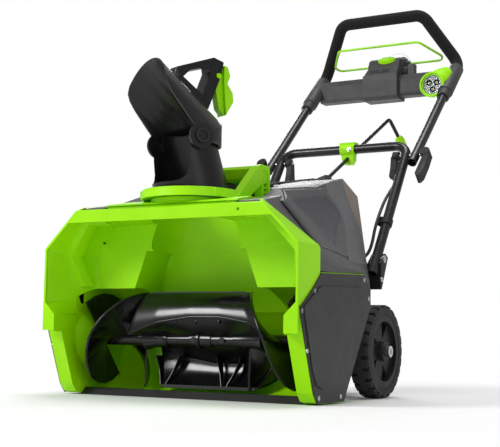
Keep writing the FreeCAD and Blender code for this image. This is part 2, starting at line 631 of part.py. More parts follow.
def chute_gear():
    """Crown gear under the chute; its teeth stand at rest with a gap below the pinion."""
    ring = rod(GEAR_R, (0, CHUTE_Y, DECK_Z + 0.5), (0, CHUTE_Y, 369.4)).cut(
        rod(CHUTE_R - 3.2, (0, CHUTE_Y, DECK_Z), (0, CHUTE_Y, 373)))
    seat = rod(CHUTE_R + 2, (0, CHUTE_Y, 369), (0, CHUTE_Y, 372.45)).cut(
        rod(CHUTE_R + 0.1, (0, CHUTE_Y, 368), (0, CHUTE_Y, 373)))
    pitch = 360.0 / GEAR_TEETH
    phase = (90 - CHUTE_TURN) % pitch - pitch / 2
    teeth = []
    for i in range(GEAR_TEETH):
        tooth = prism("X", [(-2.4, 369.3), (2.4, 369.3), (1.2, 373.4), (-1.2, 373.4)], CHUTE_R + 2.5, GEAR_R)
        tooth.translate(V(0, CHUTE_Y, 0))
        tooth.rotate(V(0, CHUTE_Y, 0), V(0, 0, 1), pitch * i + phase)
        teeth.append(tooth)
    return turned(union([ring, seat] + teeth))


def chute_clips():
    """Four hooks on the deck that hold the crown gear down."""
    clips = []
    for angle in (-28, 208, 48, 132):
        hook = box(GEAR_R + 0.6, -7, DECK_Z + 0.05, GEAR_R + 7, 7, 377).fuse(
            box(GEAR_R - 6, -7, 374, GEAR_R + 7, 7, 377))
        hook.translate(V(0, CHUTE_Y, 0))
        hook.rotate(V(0, CHUTE_Y, 0), V(0, 0, 1), angle)
        clips.append(hook)
    return Part.makeCompound(clips)


def chute_pivots():
    py, pz = DEFLECTOR_PIVOT
    cap = ring_x(13, 10, 80, 83, py, pz).fuse(disc_x(10.5, 80, 81.5, py, pz))
    bolt = disc_x(4, 64, 80, py, pz).fuse(cap)
    return turned(pair(bolt))


def deflector_hood():
    """Upper half of a leaning tube, cut back along its sides, over a skirt that covers the chute's back."""
    py, pz = DEFLECTOR_PIVOT
    uy, uz = DEFLECTOR_LEAN

    def trough(r):
        return rod(r, (0, py - uy * 90, pz - uz * 90), (0, py + uy * 210, pz + uz * 210))
    rise = 0.495
    side_line = [(0, 0), (-54, 62), (-65, 77), (-71, 90), (-71, 104), (-50, 203)]
    above = [(py + y, pz + z) for y, z in side_line + [(120, 203), (120, 120 * rise)]]
    upper = trough(DEFLECTOR_R + 3).cut(trough(DEFLECTOR_R)).common(prism("X", above, -90, 90))
    below = [(py - 4, pz - 10), (py, pz), (py + 120, pz + 120 * rise), (py + 120, pz - 10)]
    skirt = rod(DEFLECTOR_R + 3, (0, py, pz - 20), (0, py, pz + 120)).cut(
        rod(DEFLECTOR_R, (0, py, pz - 30), (0, py, pz + 130)))
    skirt = skirt.common(prism("X", below, -90, 90))
    ears = pair(disc_x(24, 73, DEFLECTOR_R + 3.5, py, pz))
    hood = union([upper, skirt, ears])
    return turned(hood.cut(disc_x(4.05, -90, 90, py, pz)))


# y, z outline of the frame behind the deflector, straight ahead
FRAME_OUT = [(-84, 586), (-80, 604), (2, 634), (24, 628), (20, 606), (12, 584), (-6, 540), (-12, 524)]
FRAME_IN = [(-64, 588), (-50, 602), (-6, 616), (-4, 606), (-22, 560)]
TRIGGER_PIVOT = (12.0, 600.0)


def deflector_frame():
    frame = prism("X", FRAME_OUT, -17, 17).cut(prism("X", FRAME_IN, -20, 20))
    frame = frame.cut(prism("X", [(4, 500), (4, 609), (20, 640), (80, 640), (80, 500)], -9, 9))
    uy, uz = DEFLECTOR_LEAN
    py, pz = DEFLECTOR_PIVOT
    shell = rod(DEFLECTOR_R + 3.02, (0, py - uy * 90, pz - uz * 90), (0, py + uy * 200, pz + uz * 200))
    ty, tz = TRIGGER_PIVOT
    return turned(frame.cut(shell).cut(disc_x(3.05, -20, 20, ty, tz)))


def deflector_trigger():
    """Squeeze lever hinged in the frame, with two finger lobes."""
    ty, tz = TRIGGER_PIVOT
    line = [(ty - 5, tz + 6), (ty + 9, tz + 24), (ty + 22, tz + 20), (ty + 28, tz + 4), (ty + 22, tz - 12),
            (ty + 34, tz - 28), (ty + 36, tz - 44), (ty + 20, tz - 72), (ty + 8, tz - 60), (ty - 1, tz - 20)]
    lever = prism("X", line, -8.5, 8.5)
    grip = prism("X", [(ty + 14.5, tz + 22), (ty + 22, tz + 20), (ty + 28, tz + 4), (ty + 22, tz - 12),
                       (ty + 34, tz - 28), (ty + 36, tz - 44), (ty + 20, tz - 72), (ty + 18, tz - 52),
                       (ty + 14.5, tz - 10)], -15, 15)
    pin = disc_x(3, -18, 18, ty, tz).fuse(pair(disc_x(5, 17.4, 19.5, ty, tz)))
    return turned(lever.fuse(grip).fuse(pin))


# ---- chute drive --------------------------------------------------------------------------------
def shaft_dir():
    return (V(0, *SHAFT_REAR) - V(0, *SHAFT_FRONT)).normalize()


def drive_shaft():
    """Shaft with an eight-tooth pinion at the front and half of the universal joint at the rear."""
    d = shaft_dir()
    mesh, rear = V(0, *SHAFT_FRONT), V(0, *SHAFT_REAR)
    start = mesh - d * 3.6
    shaft = Part.makeCylinder(5, (rear - d * 14 - start).Length, start, d)
    pinion = Part.makeCylinder(9.4, 11, start, d)
    teeth = []
    for i in range(PINION_TEETH):
        tooth = box(-1.6, 0, 8, 1.6, 11, 13.5)
        tooth.rotate(V(0, 0, 0), V(0, 1, 0), 360.0 / PINION_TEETH * i)
        tooth.rotate(V(0, 0, 0), V(1, 0, 0), math.degrees(math.asin(d.z)))
        tooth.translate(start)
        teeth.append(tooth)
    fork = Part.makeCylinder(9, 16, rear - d * 18, d)
    return union([shaft, pinion, fork] + teeth)


def crank_dir():
    return (V(*CRANK_END) - V(0, *SHAFT_REAR)).normalize()


def crank_rod():
    d, arm = crank_dir(), V(*CRANK_ARM)
    base, end = V(0, *SHAFT_REAR), V(*CRANK_END)
    fork = Part.makeCylinder(9, 20, base + d * 2, d)
    rod_bent = sweep([tuple(base + d * 10), tuple(end), tuple(end + arm * 0.8)], [9], CRANK_R)
    return rod_bent.fuse(fork)


def crank_knob():
    """Tapered knob that spins on the arm."""
    down = V(*CRANK_ARM).normalize()
    length = V(*CRANK_ARM).Length
    start = V(*CRANK_END) + down * (0.44 * length)
    outer = Part.makeCone(9.5, 11.5, 12, start, down)
    outer = outer.fuse(Part.makeCone(11.5, 7.0, 0.56 * length - 12, start + down * 12, down))
    return outer.cut(Part.makeCylinder(CRANK_R + 0.05, 0.36 * length + 1.4, start - down, down))


def gear_housing():
    """Open tray on the covers that carries the chute drive shaft."""
    d = shaft_dir()
    front, rear = V(0, *SHAFT_FRONT), V(0, *SHAFT_REAR)

    def strip(w, low, high, a, b):
        p, q = front + d * a, rear - d * b
        return prism("X", [(p.y, p.z + low), (q.y, q.z + low), (q.y, q.z + high), (p.y, p.z + high)], -w, w)
    tray = strip(24, -13, 11, 172, 6).cut(strip(20, -10, 20, 171, -5))
    windows = []
    for k in range(3):
        # three windows between the bearing blocks
        p = front + d * (196 + 72 * k)
        q = p + d * 44
        windows.append(prism("X", [(p.y, p.z - 7), (q.y, q.z - 7), (q.y, q.z + 7), (p.y, p.z + 7)], -30, 30))
    tray = tray.cut(Part.makeCompound(windows))
    blocks = []
    for s in (182, 252, 324):
        blocks.append(strip(20, -10, 8, s, (rear - front).Length - s - 9))
    tray = union([tray] + blocks)
    cap = strip(26, -14, 18, -24, (rear - front).Length - 56)
    cap = cap.cut(strip(22, -30, 14.5, -20, (rear - front).Length - 53))
    cap = cap.cut(rod(GEAR_R + 0.8, (0, CHUTE_Y, 300), (0, CHUTE_Y, 376.5)))
    cap = cap.cut(rod(CHUTE_R + 3.5, (0, CHUTE_Y, 300), (0, CHUTE_Y, 500)))
    cap = cap.cut(box(-40, -100, 300, 40, 200, DECK_Z + 0.05)).cut(box(-40, 57.6, 405.6, 40, 96, 430))
    bore = Part.makeCylinder(5.06, 700, front - d * 40, d)
    return tray.cut(bore), cap.cut(bore).cut(Part.makeCylinder(14.2, 24, front - d * 8, d))


# ---- handles ------------------------------------------------------------------------------------
def lower_handle():
    by, bz = LOWER_BASE
    cy, cz = CROSSBAR
    foot_y, foot_z = by - 20, bz - 29
    points = [(LOWER_X, foot_y, foot_z), (LOWER_X, cy, cz), (-LOWER_X, cy, cz), (-LOWER_X, foot_y, foot_z)]
    return tube(points, [34, 34], TUBE_R, 1.6).cut(disc_x(4.05, -220, 220, *FOLD))


def handle_sockets():
    """Brackets on the rear of the housing that hold the feet of the lower handle."""
    by, bz = LOWER_BASE
    block = prism("X", [(446.3, bz - 62), (446.3, bz - 6), (472, bz + 16), (486, bz + 8), (452, bz - 62)],
                  LOWER_X - 16, LOWER_X + 16)
    arm = box(120, 446.3, bz - 60, LOWER_X - 14, 452, bz - 20)
    bolt = disc_x(4.05, LOWER_X, LOWER_X + 20, by + 2, bz + 3)
    return pair(block.fuse(arm).cut(bolt)).cut(leg_holes())


def bolt_x(x, y, z, length, head=8.0):
    return disc_x(4, x, x + length, y, z).fuse(disc_x(head, x + length, x + length + 4, y, z))


def handle_base_bolts():
    by, bz = LOWER_BASE
    return pair(bolt_x(LOWER_X + TUBE_R + 0.2, by + 2, bz + 3, 5))


def handle_pivot_bolts():
    """Bolts through both handles, each with an eye at its outer end for the cam lever's pin."""
    fy, fz = FOLD
    cx = UPPER_X + CAM_OFFSET
    shank = disc_x(4, LOWER_X - TUBE_R - 22, cx, fy, fz)
    across = cam_axis()
    centre = V(cx, fy, fz)
    eye = Part.makeCylinder(6.5, 8, centre - across * 4, across)
    pin = Part.makeCylinder(3.05, 30, centre - across * 15, across)
    return pair(shank.fuse(eye).cut(pin))


def inner_nuts():
    """Lobed wing nuts on the inner ends of the folding bolts."""
    fy, fz = FOLD
    x1 = LOWER_X - TUBE_R - 4.5
    body = disc_x(11, x1 - 14, x1, fy, fz)
    lobes = prism("X", [(fy - 7, fz), (fy + 7, fz), (fy + 10, fz - 34), (fy + 16, fz - 52), (fy + 4, fz - 56),
                        (fy - 1, fz - 46), (fy - 8, fz - 54), (fy - 19, fz - 48), (fy - 12, fz - 30)],
                  x1 - 18, x1 - 4)
    nut = body.fuse(lobes).cut(disc_x(4.0, x1 - 40, x1 + 1, fy, fz))
    return pair(nut)


def cam_axis():
    """Direction of the cam pin, across the lever and across the bolt."""
    return V(0, 0.76, -0.65).normalize()


def cam_lever():
    """Clamping lever with a forked cam head on the outer end of the right folding bolt."""
    fy, fz = FOLD
    across = cam_axis()
    along = V(0, across.z, -across.y)
    out = V(1, 0, 0)
    centre = V(UPPER_X + CAM_OFFSET, fy, fz)
    head = Part.makeCylinder(12, 26, centre - across * 13, across)

    def slab(points, low, high):
        corners = [centre + along * u + out * w + across * low for u, w in points]
        return Part.Face(Part.makePolygon(corners + corners[:1])).extrude(across * (high - low))
    paddle = slab([(0, 1), (0, 12), (34, 13), (74, 11), (84, 6), (84, -1), (76, -5), (30, -2)], -12, 12)
    slot = slab([(-20, -20), (-20, 7.5), (7.5, 7.5), (14, 4), (14, -20)], -4.5, 4.5)
    pin = Part.makeCylinder(3, 26, centre - across * 13, across)
    return head.fuse(paddle).cut(slot).fuse(pin)


def upper_points():
    gy, gz = GRIP_LOW
    way = V(0, math.cos(UPPER_ANGLE), math.sin(UPPER_ANGLE))
    foot = V(0, *FOLD) - way * 30
    return [(UPPER_X, foot.y, foot.z), (UPPER_X, gy, gz), (GRIP_TOP_X, *GRIP_TOP), (-GRIP_TOP_X, *GRIP_TOP),
            (-UPPER_X, gy, gz), (-UPPER_X, foot.y, foot.z)]


UPPER_BENDS = [31, 34, 34, 31]


def upper_handle():
    fy, fz = FOLD
    shape = tube(upper_points(), UPPER_BENDS, TUBE_R, 1.6)
    return shape.cut(disc_x(4.05, -220, 220, fy, fz))


def foam_grip():
    points = upper_points()
    way = (V(*points[1]) - V(*points[0])).normalize()
    start, end = V(*points[1]) - way * 26.5, V(*points[4]) - way * 26.5
    route = [tuple(start)] + points[1:5] + [tuple(end)]
    return sweep(route, UPPER_BENDS, FOAM_R).cut(sweep(route, UPPER_BENDS, TUBE_R + 0.02))


def leg_point(z):
    """Point on the upper leg's axis at height z, as y and z."""
    return FOLD[0] + (z - FOLD[1]) / math.tan(UPPER_ANGLE), z


def leg_cylinder(x, r, z0, z1):
    return rod(r, (x, *leg_point(z0)), (x, *leg_point(z1)))


def console_sleeves():
    sleeve = leg_cylinder(UPPER_X, SLEEVE_R, 722, 799)
    collar = leg_cylinder(UPPER_X, 15.5, 706, 724)
    return pair(sleeve.fuse(collar).cut(leg_cylinder(UPPER_X, TUBE_R + 0.02, 690, 820)))


def console_body():
    bar_front = [(868, 740), (876, 734), (906, 734), (928, 784), (920, 792), (884, 792), (868, 776)]
    bar = prism("X", bar_front, -175, 175)
    for s in (1, -1):
        bar = bar.cut(leg_cylinder(s * UPPER_X, SLEEVE_R + 0.05, 700, 830))
    centre = prism("X", [(858, 736), (868, 727), (912, 727), (944, 800), (950, 834), (938, 846), (912, 846),
                         (900, 838), (886, 798), (858, 792)], -47, 47)
    by, bz = BAIL
    bosses = pair(disc_x(8, 46, 58, by, bz))
    knuckle = ring_x(14, 7, 46, 58, 912, 806)
    shape = union([bar, centre, bosses, knuckle])
    inner = prism("X", [(874, 742), (904, 740), (934, 800), (938, 830), (920, 834), (894, 790), (874, 786)],
                  -44, 44)
    d = button_way()
    shape = shape.cut(inner).cut(pair(disc_x(3.1, 40, 70, by, bz)))
    shape = shape.cut(Part.makeCylinder(13.4, 40, BUTTON - d * 10, d))
    first, second = V(*CABLE[0]), V(*CABLE[1])
    shape = shape.cut(rod(CABLE_R + 0.05, first * 1.5 - second * 0.5, second))
    return shape.cut(box(65.5, 901.5, 774, 74.5, 912.5, 800))


def button_way():
    return V(0, -0.56, 0.83).normalize()


def start_button():
    d = button_way()
    return Part.makeCylinder(13, 20, BUTTON - d * 6, d)


def safety_key():
    blade = box(66, 902, 777, 74, 912, 794)
    return blade.fuse(box(61, 897, 792.3, 79, 917, 822))


def bail_lever():
    by, bz = BAIL
    ty, tz = by - 82.0, bz + 32.0
    points = [(-44.5, by, bz), (-160, by, bz), (-110, ty, tz), (110, ty, tz), (160, by, bz), (44.5, by, bz)]
    return sweep(points, [16, 18, 18, 16], 3.0)


def light_housing():
    """Lamp cup with its dome running back over the sleeve and a clip beside it."""
    x, y, z = LIGHT

    def hoop(r, cx, cy, cz):
        return Part.Wire([Part.makeCircle(r, V(cx, cy, cz), V(0, 1, 0))])
    cup = rod(LIGHT_R, (x, y, z), (x, y + 10, z))
    dome = Part.makeLoft([hoop(LIGHT_R, x, y + 10, z), hoop(29, x + 7, y + 26, z + 14),
                          hoop(20, x + 18, y + 46, z + 32), hoop(8, x + 22, y + 58, z + 42)], True, True)
    clip = prism("X", [(y + 6, z - 4), (y + 20, z + 8), (y + 34, z + 2), (y + 16, z - 22), (y + 6, z - 20)],
                 x + 12, x + 22)
    shape = union([cup, dome, clip]).cut(rod(LIGHT_R - 3.5, (x, y - 1, z), (x, y + 4, z)))
    shape = shape.cut(rod(LENS_R, (x, y - 1, z), (x, y + 14, z)))
    shape = shape.cut(leg_cylinder(UPPER_X, SLEEVE_R + 0.1, 640, 880))
    shape = shape.cut(box(-175, 866, 730, 175.2, 960, 794))
    return max(shape.Solids, key=lambda solid: solid.Volume)


def light_lens():
    x, y, z = LIGHT
    lens = rod(LENS_R - 0.05, (x, y + 4, z), (x, y + 9, z))
    return lens.cut(leg_cylinder(UPPER_X, SLEEVE_R + 0.1, 640, 880))


def crank_bracket():
    """Clamp on the crossbar with a tongue below that guides the crank rod."""
    cy, cz = CROSSBAR
    base, d = V(0, *SHAFT_REAR), crank_dir()
    x = base.x + d.x / d.y * (cy - base.y)
    clamp = rod(TUBE_R + 3.5, (x - 18, cy, cz), (x + 18, cy, cz))
    tongue = prism("Y", [(x - 16, cz), (x + 16, cz), (x + 15, cz - 26), (x + 9, cz - 36), (x - 9, cz - 36),
                         (x - 15, cz - 26)], cy - 6, cy + 12)
    lip = box(x - 20, cy - 10, cz + 8, x + 20, cy + 14, cz + 16)
    shape = union([clamp, tongue, lip]).cut(rod(TUBE_R + 0.02, (-40, cy, cz), (60, cy, cz)))
    return shape.cut(Part.makeCylinder(CRANK_R + 0.06, 600, base, d))


# route of the control cable from the console to the grommet in the housing
CABLE = [(158, 880, 733), (166, 852, 712), (170.5, 820, 684), (170.5, 784, 648), (170, 748, 611),
         (169, 712, 582), (166, 682, 558), (162, 655, 530), (156, 628, 500), (150, 602, 472),
         (146, 574, 446), (146, 545, 424), (148, 519, 401), (150, 496, 378), (150, 478, 352),
         (150.5, 466, 326), (149, 456, 306), (143, 450, 292), (134, 442, 283)]


def control_cable():
    radii = cord_radii(CABLE)
    cable = sweep(CABLE, radii, CABLE_R)
    runs = sum((V(*b) - V(*a)).Length for a, b in zip(CABLE, CABLE[1:]))
    print("control_cable arc radii", [round(r) for r in radii])
    share = cable.Volume / (math.pi * CABLE_R ** 2 * runs)
    print("control_cable volume over section times runs", round(share, 3))
    return cable


def cover_screws():
    screws = []
    for y, z in SCREW_SPOTS:
        head = disc_x(4.2, COVER_X + 1.25, COVER_X + 3.4, y, z)
        head = head.cut(box(COVER_X + 2.4, y - 0.6, z - 3, COVER_X + 4, y + 0.6, z + 3))
        screws += [head, mirror_x(head)]
    return Part.makeCompound(screws)


def battery_pack():
    pack = box(-BATTERY_X, BATTERY_Y0, BATTERY_Z0, BATTERY_X, BATTERY_Y1, BATTERY_Z1)
    latch = box(-30, BATTERY_Y1, BATTERY_Z0 + 30, 30, BATTERY_Y1 + 6, BATTERY_Z1 - 20)
    slots = [box(-BATTERY_X - 1, BATTERY_Y0 + 20 + 30 * i, BATTERY_Z0 + 10, -BATTERY_X + 3,
                 BATTERY_Y0 + 32 + 30 * i, BATTERY_Z1 - 10) for i in range(3)]
    body = pack.fuse(latch)
    for s in slots:
        body = body.cut(s).cut(mirror_x(s))
    return body


def battery_dock():
    """Cradle under and in front of the battery, standing on the chassis floor."""
    x = BATTERY_X + 6
    floor = box(-x, 292, 246, x, 414, 258)
    wall = box(-x, 284, 246, x, 292, 330)
    rails = pair(box(BATTERY_X + 2, 292, 258, x, 410, 300))
    legs = pair(box(66, 296, 65, 74, 334, 247))
    return union([floor, wall, rails, legs])


def main():
    motor_cover, battery_housing, battery_lid = covers()
    rim_right, tyre_right = wheel(1)
    rim_left, tyre_left = wheel(-1)
    shaft_tray, pinion_cover = gear_housing()
    parts = {
        "hood_shell": hood_shell(), "scraper_bar": scraper_bar(), "carry_handle": carry_handle(),
        "belt_cover": side_cover(), "bearing_cover": mirror_x(side_cover()), "cover_screws": cover_screws(),
        "motor_cover": motor_cover, "battery_housing": battery_housing, "battery_lid": battery_lid,
        "battery_dock": battery_dock(), "battery_pack": battery_pack(), "chassis_base": chassis_base(),
        "motor_can": motor_can(), "rotor": rotor(), "motor_pulley": motor_pulley(),
        "controller_box": controller_box(), "drive_belt": drive_belt(),
        "wheel_axle": wheel_axle(), "axle_caps": axle_caps(),
        "rim_right": rim_right, "tyre_right": tyre_right, "rim_left": rim_left, "tyre_left": tyre_left,
        "auger_bearings": auger_bearings(), "auger_shaft": auger_shaft(), "auger_flights": auger_flights(),
        "auger_paddles": auger_paddles(), "paddle_edges": paddle_edges(), "auger_bolts": auger_bolts(),
        "auger_pulley": auger_pulley(),
        "chute_tube": chute_tube(), "chute_gear": chute_gear(), "chute_clips": chute_clips(),
        "chute_pivots": chute_pivots(), "deflector_hood": deflector_hood(),
        "deflector_frame": deflector_frame(), "deflector_trigger": deflector_trigger(),
        "drive_shaft": drive_shaft(), "crank_rod": crank_rod(), "crank_knob": crank_knob(),
        "shaft_tray": shaft_tray, "pinion_cover": pinion_cover, "crank_bracket": crank_bracket(),
        "lower_handle": lower_handle(), "handle_sockets": handle_sockets(),
        "handle_base_bolts": handle_base_bolts(), "handle_pivot_bolts": handle_pivot_bolts(),
        "inner_nuts": inner_nuts(), "cam_lever_right": cam_lever(), "cam_lever_left": mirror_x(cam_lever()),
        "upper_handle": upper_handle(), "foam_grip": foam_grip(), "console_sleeves": console_sleeves(),
        "console_body": console_body(), "start_button": start_button(), "safety_key": safety_key(),
        "bail_lever": bail_lever(), "light_housing": light_housing(), "light_lens": light_lens(),
        "control_cable": control_cable(),
    }
    for name, shape in parts.items():
        save(name, shape)
    print(len(parts), "nodes")


main()
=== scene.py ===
import math

import bmesh
import bpy
from mathutils import Matrix, Vector


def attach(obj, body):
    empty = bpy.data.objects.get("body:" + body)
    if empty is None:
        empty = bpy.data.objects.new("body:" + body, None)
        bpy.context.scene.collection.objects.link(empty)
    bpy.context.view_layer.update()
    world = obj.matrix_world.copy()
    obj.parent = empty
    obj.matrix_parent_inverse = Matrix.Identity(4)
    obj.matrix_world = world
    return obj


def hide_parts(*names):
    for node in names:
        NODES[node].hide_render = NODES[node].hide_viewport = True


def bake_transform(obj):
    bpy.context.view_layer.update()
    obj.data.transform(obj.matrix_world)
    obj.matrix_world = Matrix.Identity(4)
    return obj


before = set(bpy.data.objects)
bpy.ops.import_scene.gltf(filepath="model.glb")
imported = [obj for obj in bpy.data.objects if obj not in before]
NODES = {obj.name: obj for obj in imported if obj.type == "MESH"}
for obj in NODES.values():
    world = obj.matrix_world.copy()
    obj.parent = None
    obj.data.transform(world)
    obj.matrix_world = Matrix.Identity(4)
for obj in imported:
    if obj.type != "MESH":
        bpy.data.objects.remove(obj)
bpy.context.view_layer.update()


# ---- camera and stage ---------------------------------------------------------------------------
CAMERA_AT = Vector((1.098, -1.762, 0.112))
CAMERA_TURN = math.radians(29.35)     # about +Z, from looking along +Y
CAMERA_RISE = math.radians(5.84)
CAMERA_ROLL = math.radians(0.98)
LENS_MM, SENSOR_MM = 80.4, 36.0
CLIP_NEAR, CLIP_FAR = 0.05, 60.0
WORLD_LIGHT = 0.42                    # strength of the white background as a light
FLOOR_R, FLOOR_Z = 30.0, -0.0004
FADE_FROM, FADE_TO = 0.7, 2.2         # distances from the origin over which the floor turns white
# name, place, aim, size in metres, watts
LIGHTS = [
    ("key", (-2.3, -3.0, 2.6), (0, 0.1, 0.3), 1.6, 120),
    ("fill", (2.8, -1.6, 1.2), (0.1, 0.2, 0.3), 2.0, 12),
    ("top", (0.2, 0.6, 3.0), (0, 0.2, 0.3), 1.4, 38),
    ("back", (-1.6, 3.0, 2.0), (0, 0.3, 0.5), 1.4, 30),
]


def make_camera():
    data = bpy.data.cameras.new("camera")
    data.lens, data.sensor_width, data.sensor_fit = LENS_MM, SENSOR_MM, "HORIZONTAL"
    data.clip_start, data.clip_end = CLIP_NEAR, CLIP_FAR
    camera = bpy.data.objects.new("camera", data)
    bpy.context.scene.collection.objects.link(camera)
    turn, rise = CAMERA_TURN, CAMERA_RISE
    ahead = Vector((-math.sin(turn) * math.cos(rise), math.cos(turn) * math.cos(rise), math.sin(rise)))
    right = Vector((math.cos(turn), math.sin(turn), 0))
    up = right.cross(ahead)
    roll = Matrix.Rotation(-CAMERA_ROLL, 3, ahead)
    right, up = roll @ right, roll @ up
    camera.matrix_world = Matrix((
        (right.x, up.x, -ahead.x, CAMERA_AT.x), (right.y, up.y, -ahead.y, CAMERA_AT.y),
        (right.z, up.z, -ahead.z, CAMERA_AT.z), (0, 0, 0, 1)))
    bpy.context.scene.camera = camera


def area_light(name, at, towards, size, watts):
    data = bpy.data.lights.new(name, "AREA")
    data.shape, data.size, data.energy = "DISK", size, watts
    light = bpy.data.objects.new(name, data)
    light.location = at
    light.rotation_euler = (Vector(towards) - Vector(at)).to_track_quat("-Z", "Y").to_euler()
    bpy.context.scene.collection.objects.link(light)


def studio_world():
    """White to the eye, but dimmer as a light, so that black plastic stays black."""
    world = bpy.data.worlds.new("studio")
    world.use_nodes = True
    nodes, links = world.node_tree.nodes, world.node_tree.links
    path = nodes.new("ShaderNodeLightPath")
    level = nodes.new("ShaderNodeMapRange")
    level.inputs["To Min"].default_value = WORLD_LIGHT
    level.inputs["To Max"].default_value = 1.0
    links.new(path.outputs["Is Camera Ray"], level.inputs["Value"])
    nodes["Background"].inputs["Color"].default_value = (1, 1, 1, 1)
    links.new(level.outputs["Result"], nodes["Background"].inputs["Strength"])
    return world


def fade_to_white(material, shader):
    """The floor glows white beyond the machine's shadow, so that it meets the background unseen."""
    nodes, links = material.node_tree.nodes, material.node_tree.links
    where = nodes.new("ShaderNodeTexCoord")
    length = nodes.new("ShaderNodeVectorMath")
    length.operation = "LENGTH"
    links.new(where.outputs["Object"], length.inputs[0])
    far = nodes.new("ShaderNodeMapRange")
    far.inputs["From Min"].default_value = FADE_FROM
    far.inputs["From Max"].default_value = FADE_TO
    links.new(length.outputs["Value"], far.inputs["Value"])
    glow = nodes.new("ShaderNodeEmission")
    mix = nodes.new("ShaderNodeMixShader")
    links.new(far.outputs["Result"], mix.inputs["Fac"])
    links.new(shader.outputs["BSDF"], mix.inputs[1])
    links.new(glow.outputs["Emission"], mix.inputs[2])
    links.new(mix.outputs["Shader"], nodes["Material Output"].inputs["Surface"])


def make_stage():
    mesh = bpy.data.meshes.new("floor")
    bm = bmesh.new()
    bmesh.ops.create_circle(bm, cap_ends=True, radius=FLOOR_R, segments=64)
    bm.to_mesh(mesh)
    bm.free()
    floor = bpy.data.objects.new("floor", mesh)
    floor.location.z = FLOOR_Z
    bpy.context.scene.collection.objects.link(floor)
    material = bpy.data.materials.new("floor")
    material.use_nodes = True
    shader = material.node_tree.nodes["Principled BSDF"]
    shader.inputs["Base Color"].default_value = (0.9, 0.9, 0.9, 1)
    shader.inputs["Roughness"].default_value = 0.8
    shader.inputs["Specular IOR Level"].default_value = 0.1
    fade_to_white(material, shader)
    mesh.materials.append(material)
    bpy.context.scene.world = studio_world()
    bpy.context.scene.view_settings.view_transform = "Standard"
    for light in LIGHTS:
        area_light(*light)


# ---- materials ----------------------------------------------------------------------------------
NOISE_LOW, NOISE_HIGH = 0.3, 0.7      # the noise texture's values lie mostly between these
EDGE_LOW, EDGE_HIGH = 0.53, 0.60      # pointiness where an edge starts and ends to turn paler
MIX_FACTOR, MIX_A, MIX_B, MIX_RESULT = 0, 6, 7, 2    # the colour sockets of a Mix node


def new_material(name):
    material = bpy.data.materials.new(name)
    material.use_nodes = True
    nodes, links = material.node_tree.nodes, material.node_tree.links
    return material, nodes, links, nodes["Principled BSDF"]


def noise(nodes, links, scale, detail=4.0, rough=0.55, stretch=None):
    """A noise texture on object coordinates; the model is in metres."""
    where = nodes.new("ShaderNodeTexCoord")
    out = nodes.new("ShaderNodeTexNoise")
    out.inputs["Scale"].default_value = scale
    out.inputs["Detail"].default_value = detail
    out.inputs["Roughness"].default_value = rough
    if stretch:
        mapping = nodes.new("ShaderNodeMapping")
        mapping.inputs["Scale"].default_value = stretch
        links.new(where.outputs["Object"], mapping.inputs["Vector"])
        links.new(mapping.outputs["Vector"], out.inputs["Vector"])
    else:
        links.new(where.outputs["Object"], out.inputs["Vector"])
    return out


def remap(nodes, links, source, low, high):
    out = nodes.new("ShaderNodeMapRange")
    out.inputs["From Min"].default_value = NOISE_LOW
    out.inputs["From Max"].default_value = NOISE_HIGH
    out.inputs["To Min"].default_value = low
    out.inputs["To Max"].default_value = high
    links.new(source, out.inputs["Value"])
    return out.outputs["Result"]


def add_bumps(nodes, links, shader, layers):
    """Stacked bump layers, each (height socket, distance in metres, strength)."""
    normal = None
    for height, distance, strength in layers:
        bump = nodes.new("ShaderNodeBump")
        bump.inputs["Distance"].default_value = distance
        bump.inputs["Strength"].default_value = strength
        links.new(height, bump.inputs["Height"])
        if normal:
            links.new(normal, bump.inputs["Normal"])
        normal = bump.outputs["Normal"]
    links.new(normal, shader.inputs["Normal"])


def tinted(nodes, links, colour, amount, scale, edge_paling=0.0):
    """Base colour with slow variation and, where the edge paling amount is set, paler convex edges."""
    slow = noise(nodes, links, scale, 3.0)
    ramp = nodes.new("ShaderNodeValToRGB")
    dark = [c * (1 - amount) for c in colour]
    light = [min(c * (1 + amount), 1) for c in colour]
    ramp.color_ramp.elements[0].position, ramp.color_ramp.elements[1].position = 0.32, 0.68
    ramp.color_ramp.elements[0].color = (*dark, 1)
    ramp.color_ramp.elements[1].color = (*light, 1)
    links.new(slow.outputs["Fac"], ramp.inputs["Fac"])
    if not edge_paling:
        return ramp.outputs["Color"]
    # convex edges, found by pointiness, are mixed towards a paler copy of the colour by the edge paling
    # amount
    geometry = nodes.new("ShaderNodeNewGeometry")
    edge = nodes.new("ShaderNodeMapRange")
    edge.inputs["From Min"].default_value = EDGE_LOW
    edge.inputs["From Max"].default_value = EDGE_HIGH
    edge.inputs["To Max"].default_value = edge_paling
    links.new(geometry.outputs["Pointiness"], edge.inputs["Value"])
    mix = nodes.new("ShaderNodeMix")
    mix.data_type = "RGBA"
    mix.inputs[MIX_B].default_value = (*[min(c * 1.5 + 0.03, 1) for c in colour], 1)
    links.new(edge.outputs["Result"], mix.inputs[MIX_FACTOR])
    links.new(ramp.outputs["Color"], mix.inputs[MIX_A])
    return mix.outputs[MIX_RESULT]


def uneven_gloss(nodes, links, shader, texture, low, high):
    """Roughness that drifts between two values with a noise texture."""
    links.new(remap(nodes, links, texture.outputs["Fac"], low, high), shader.inputs["Roughness"])


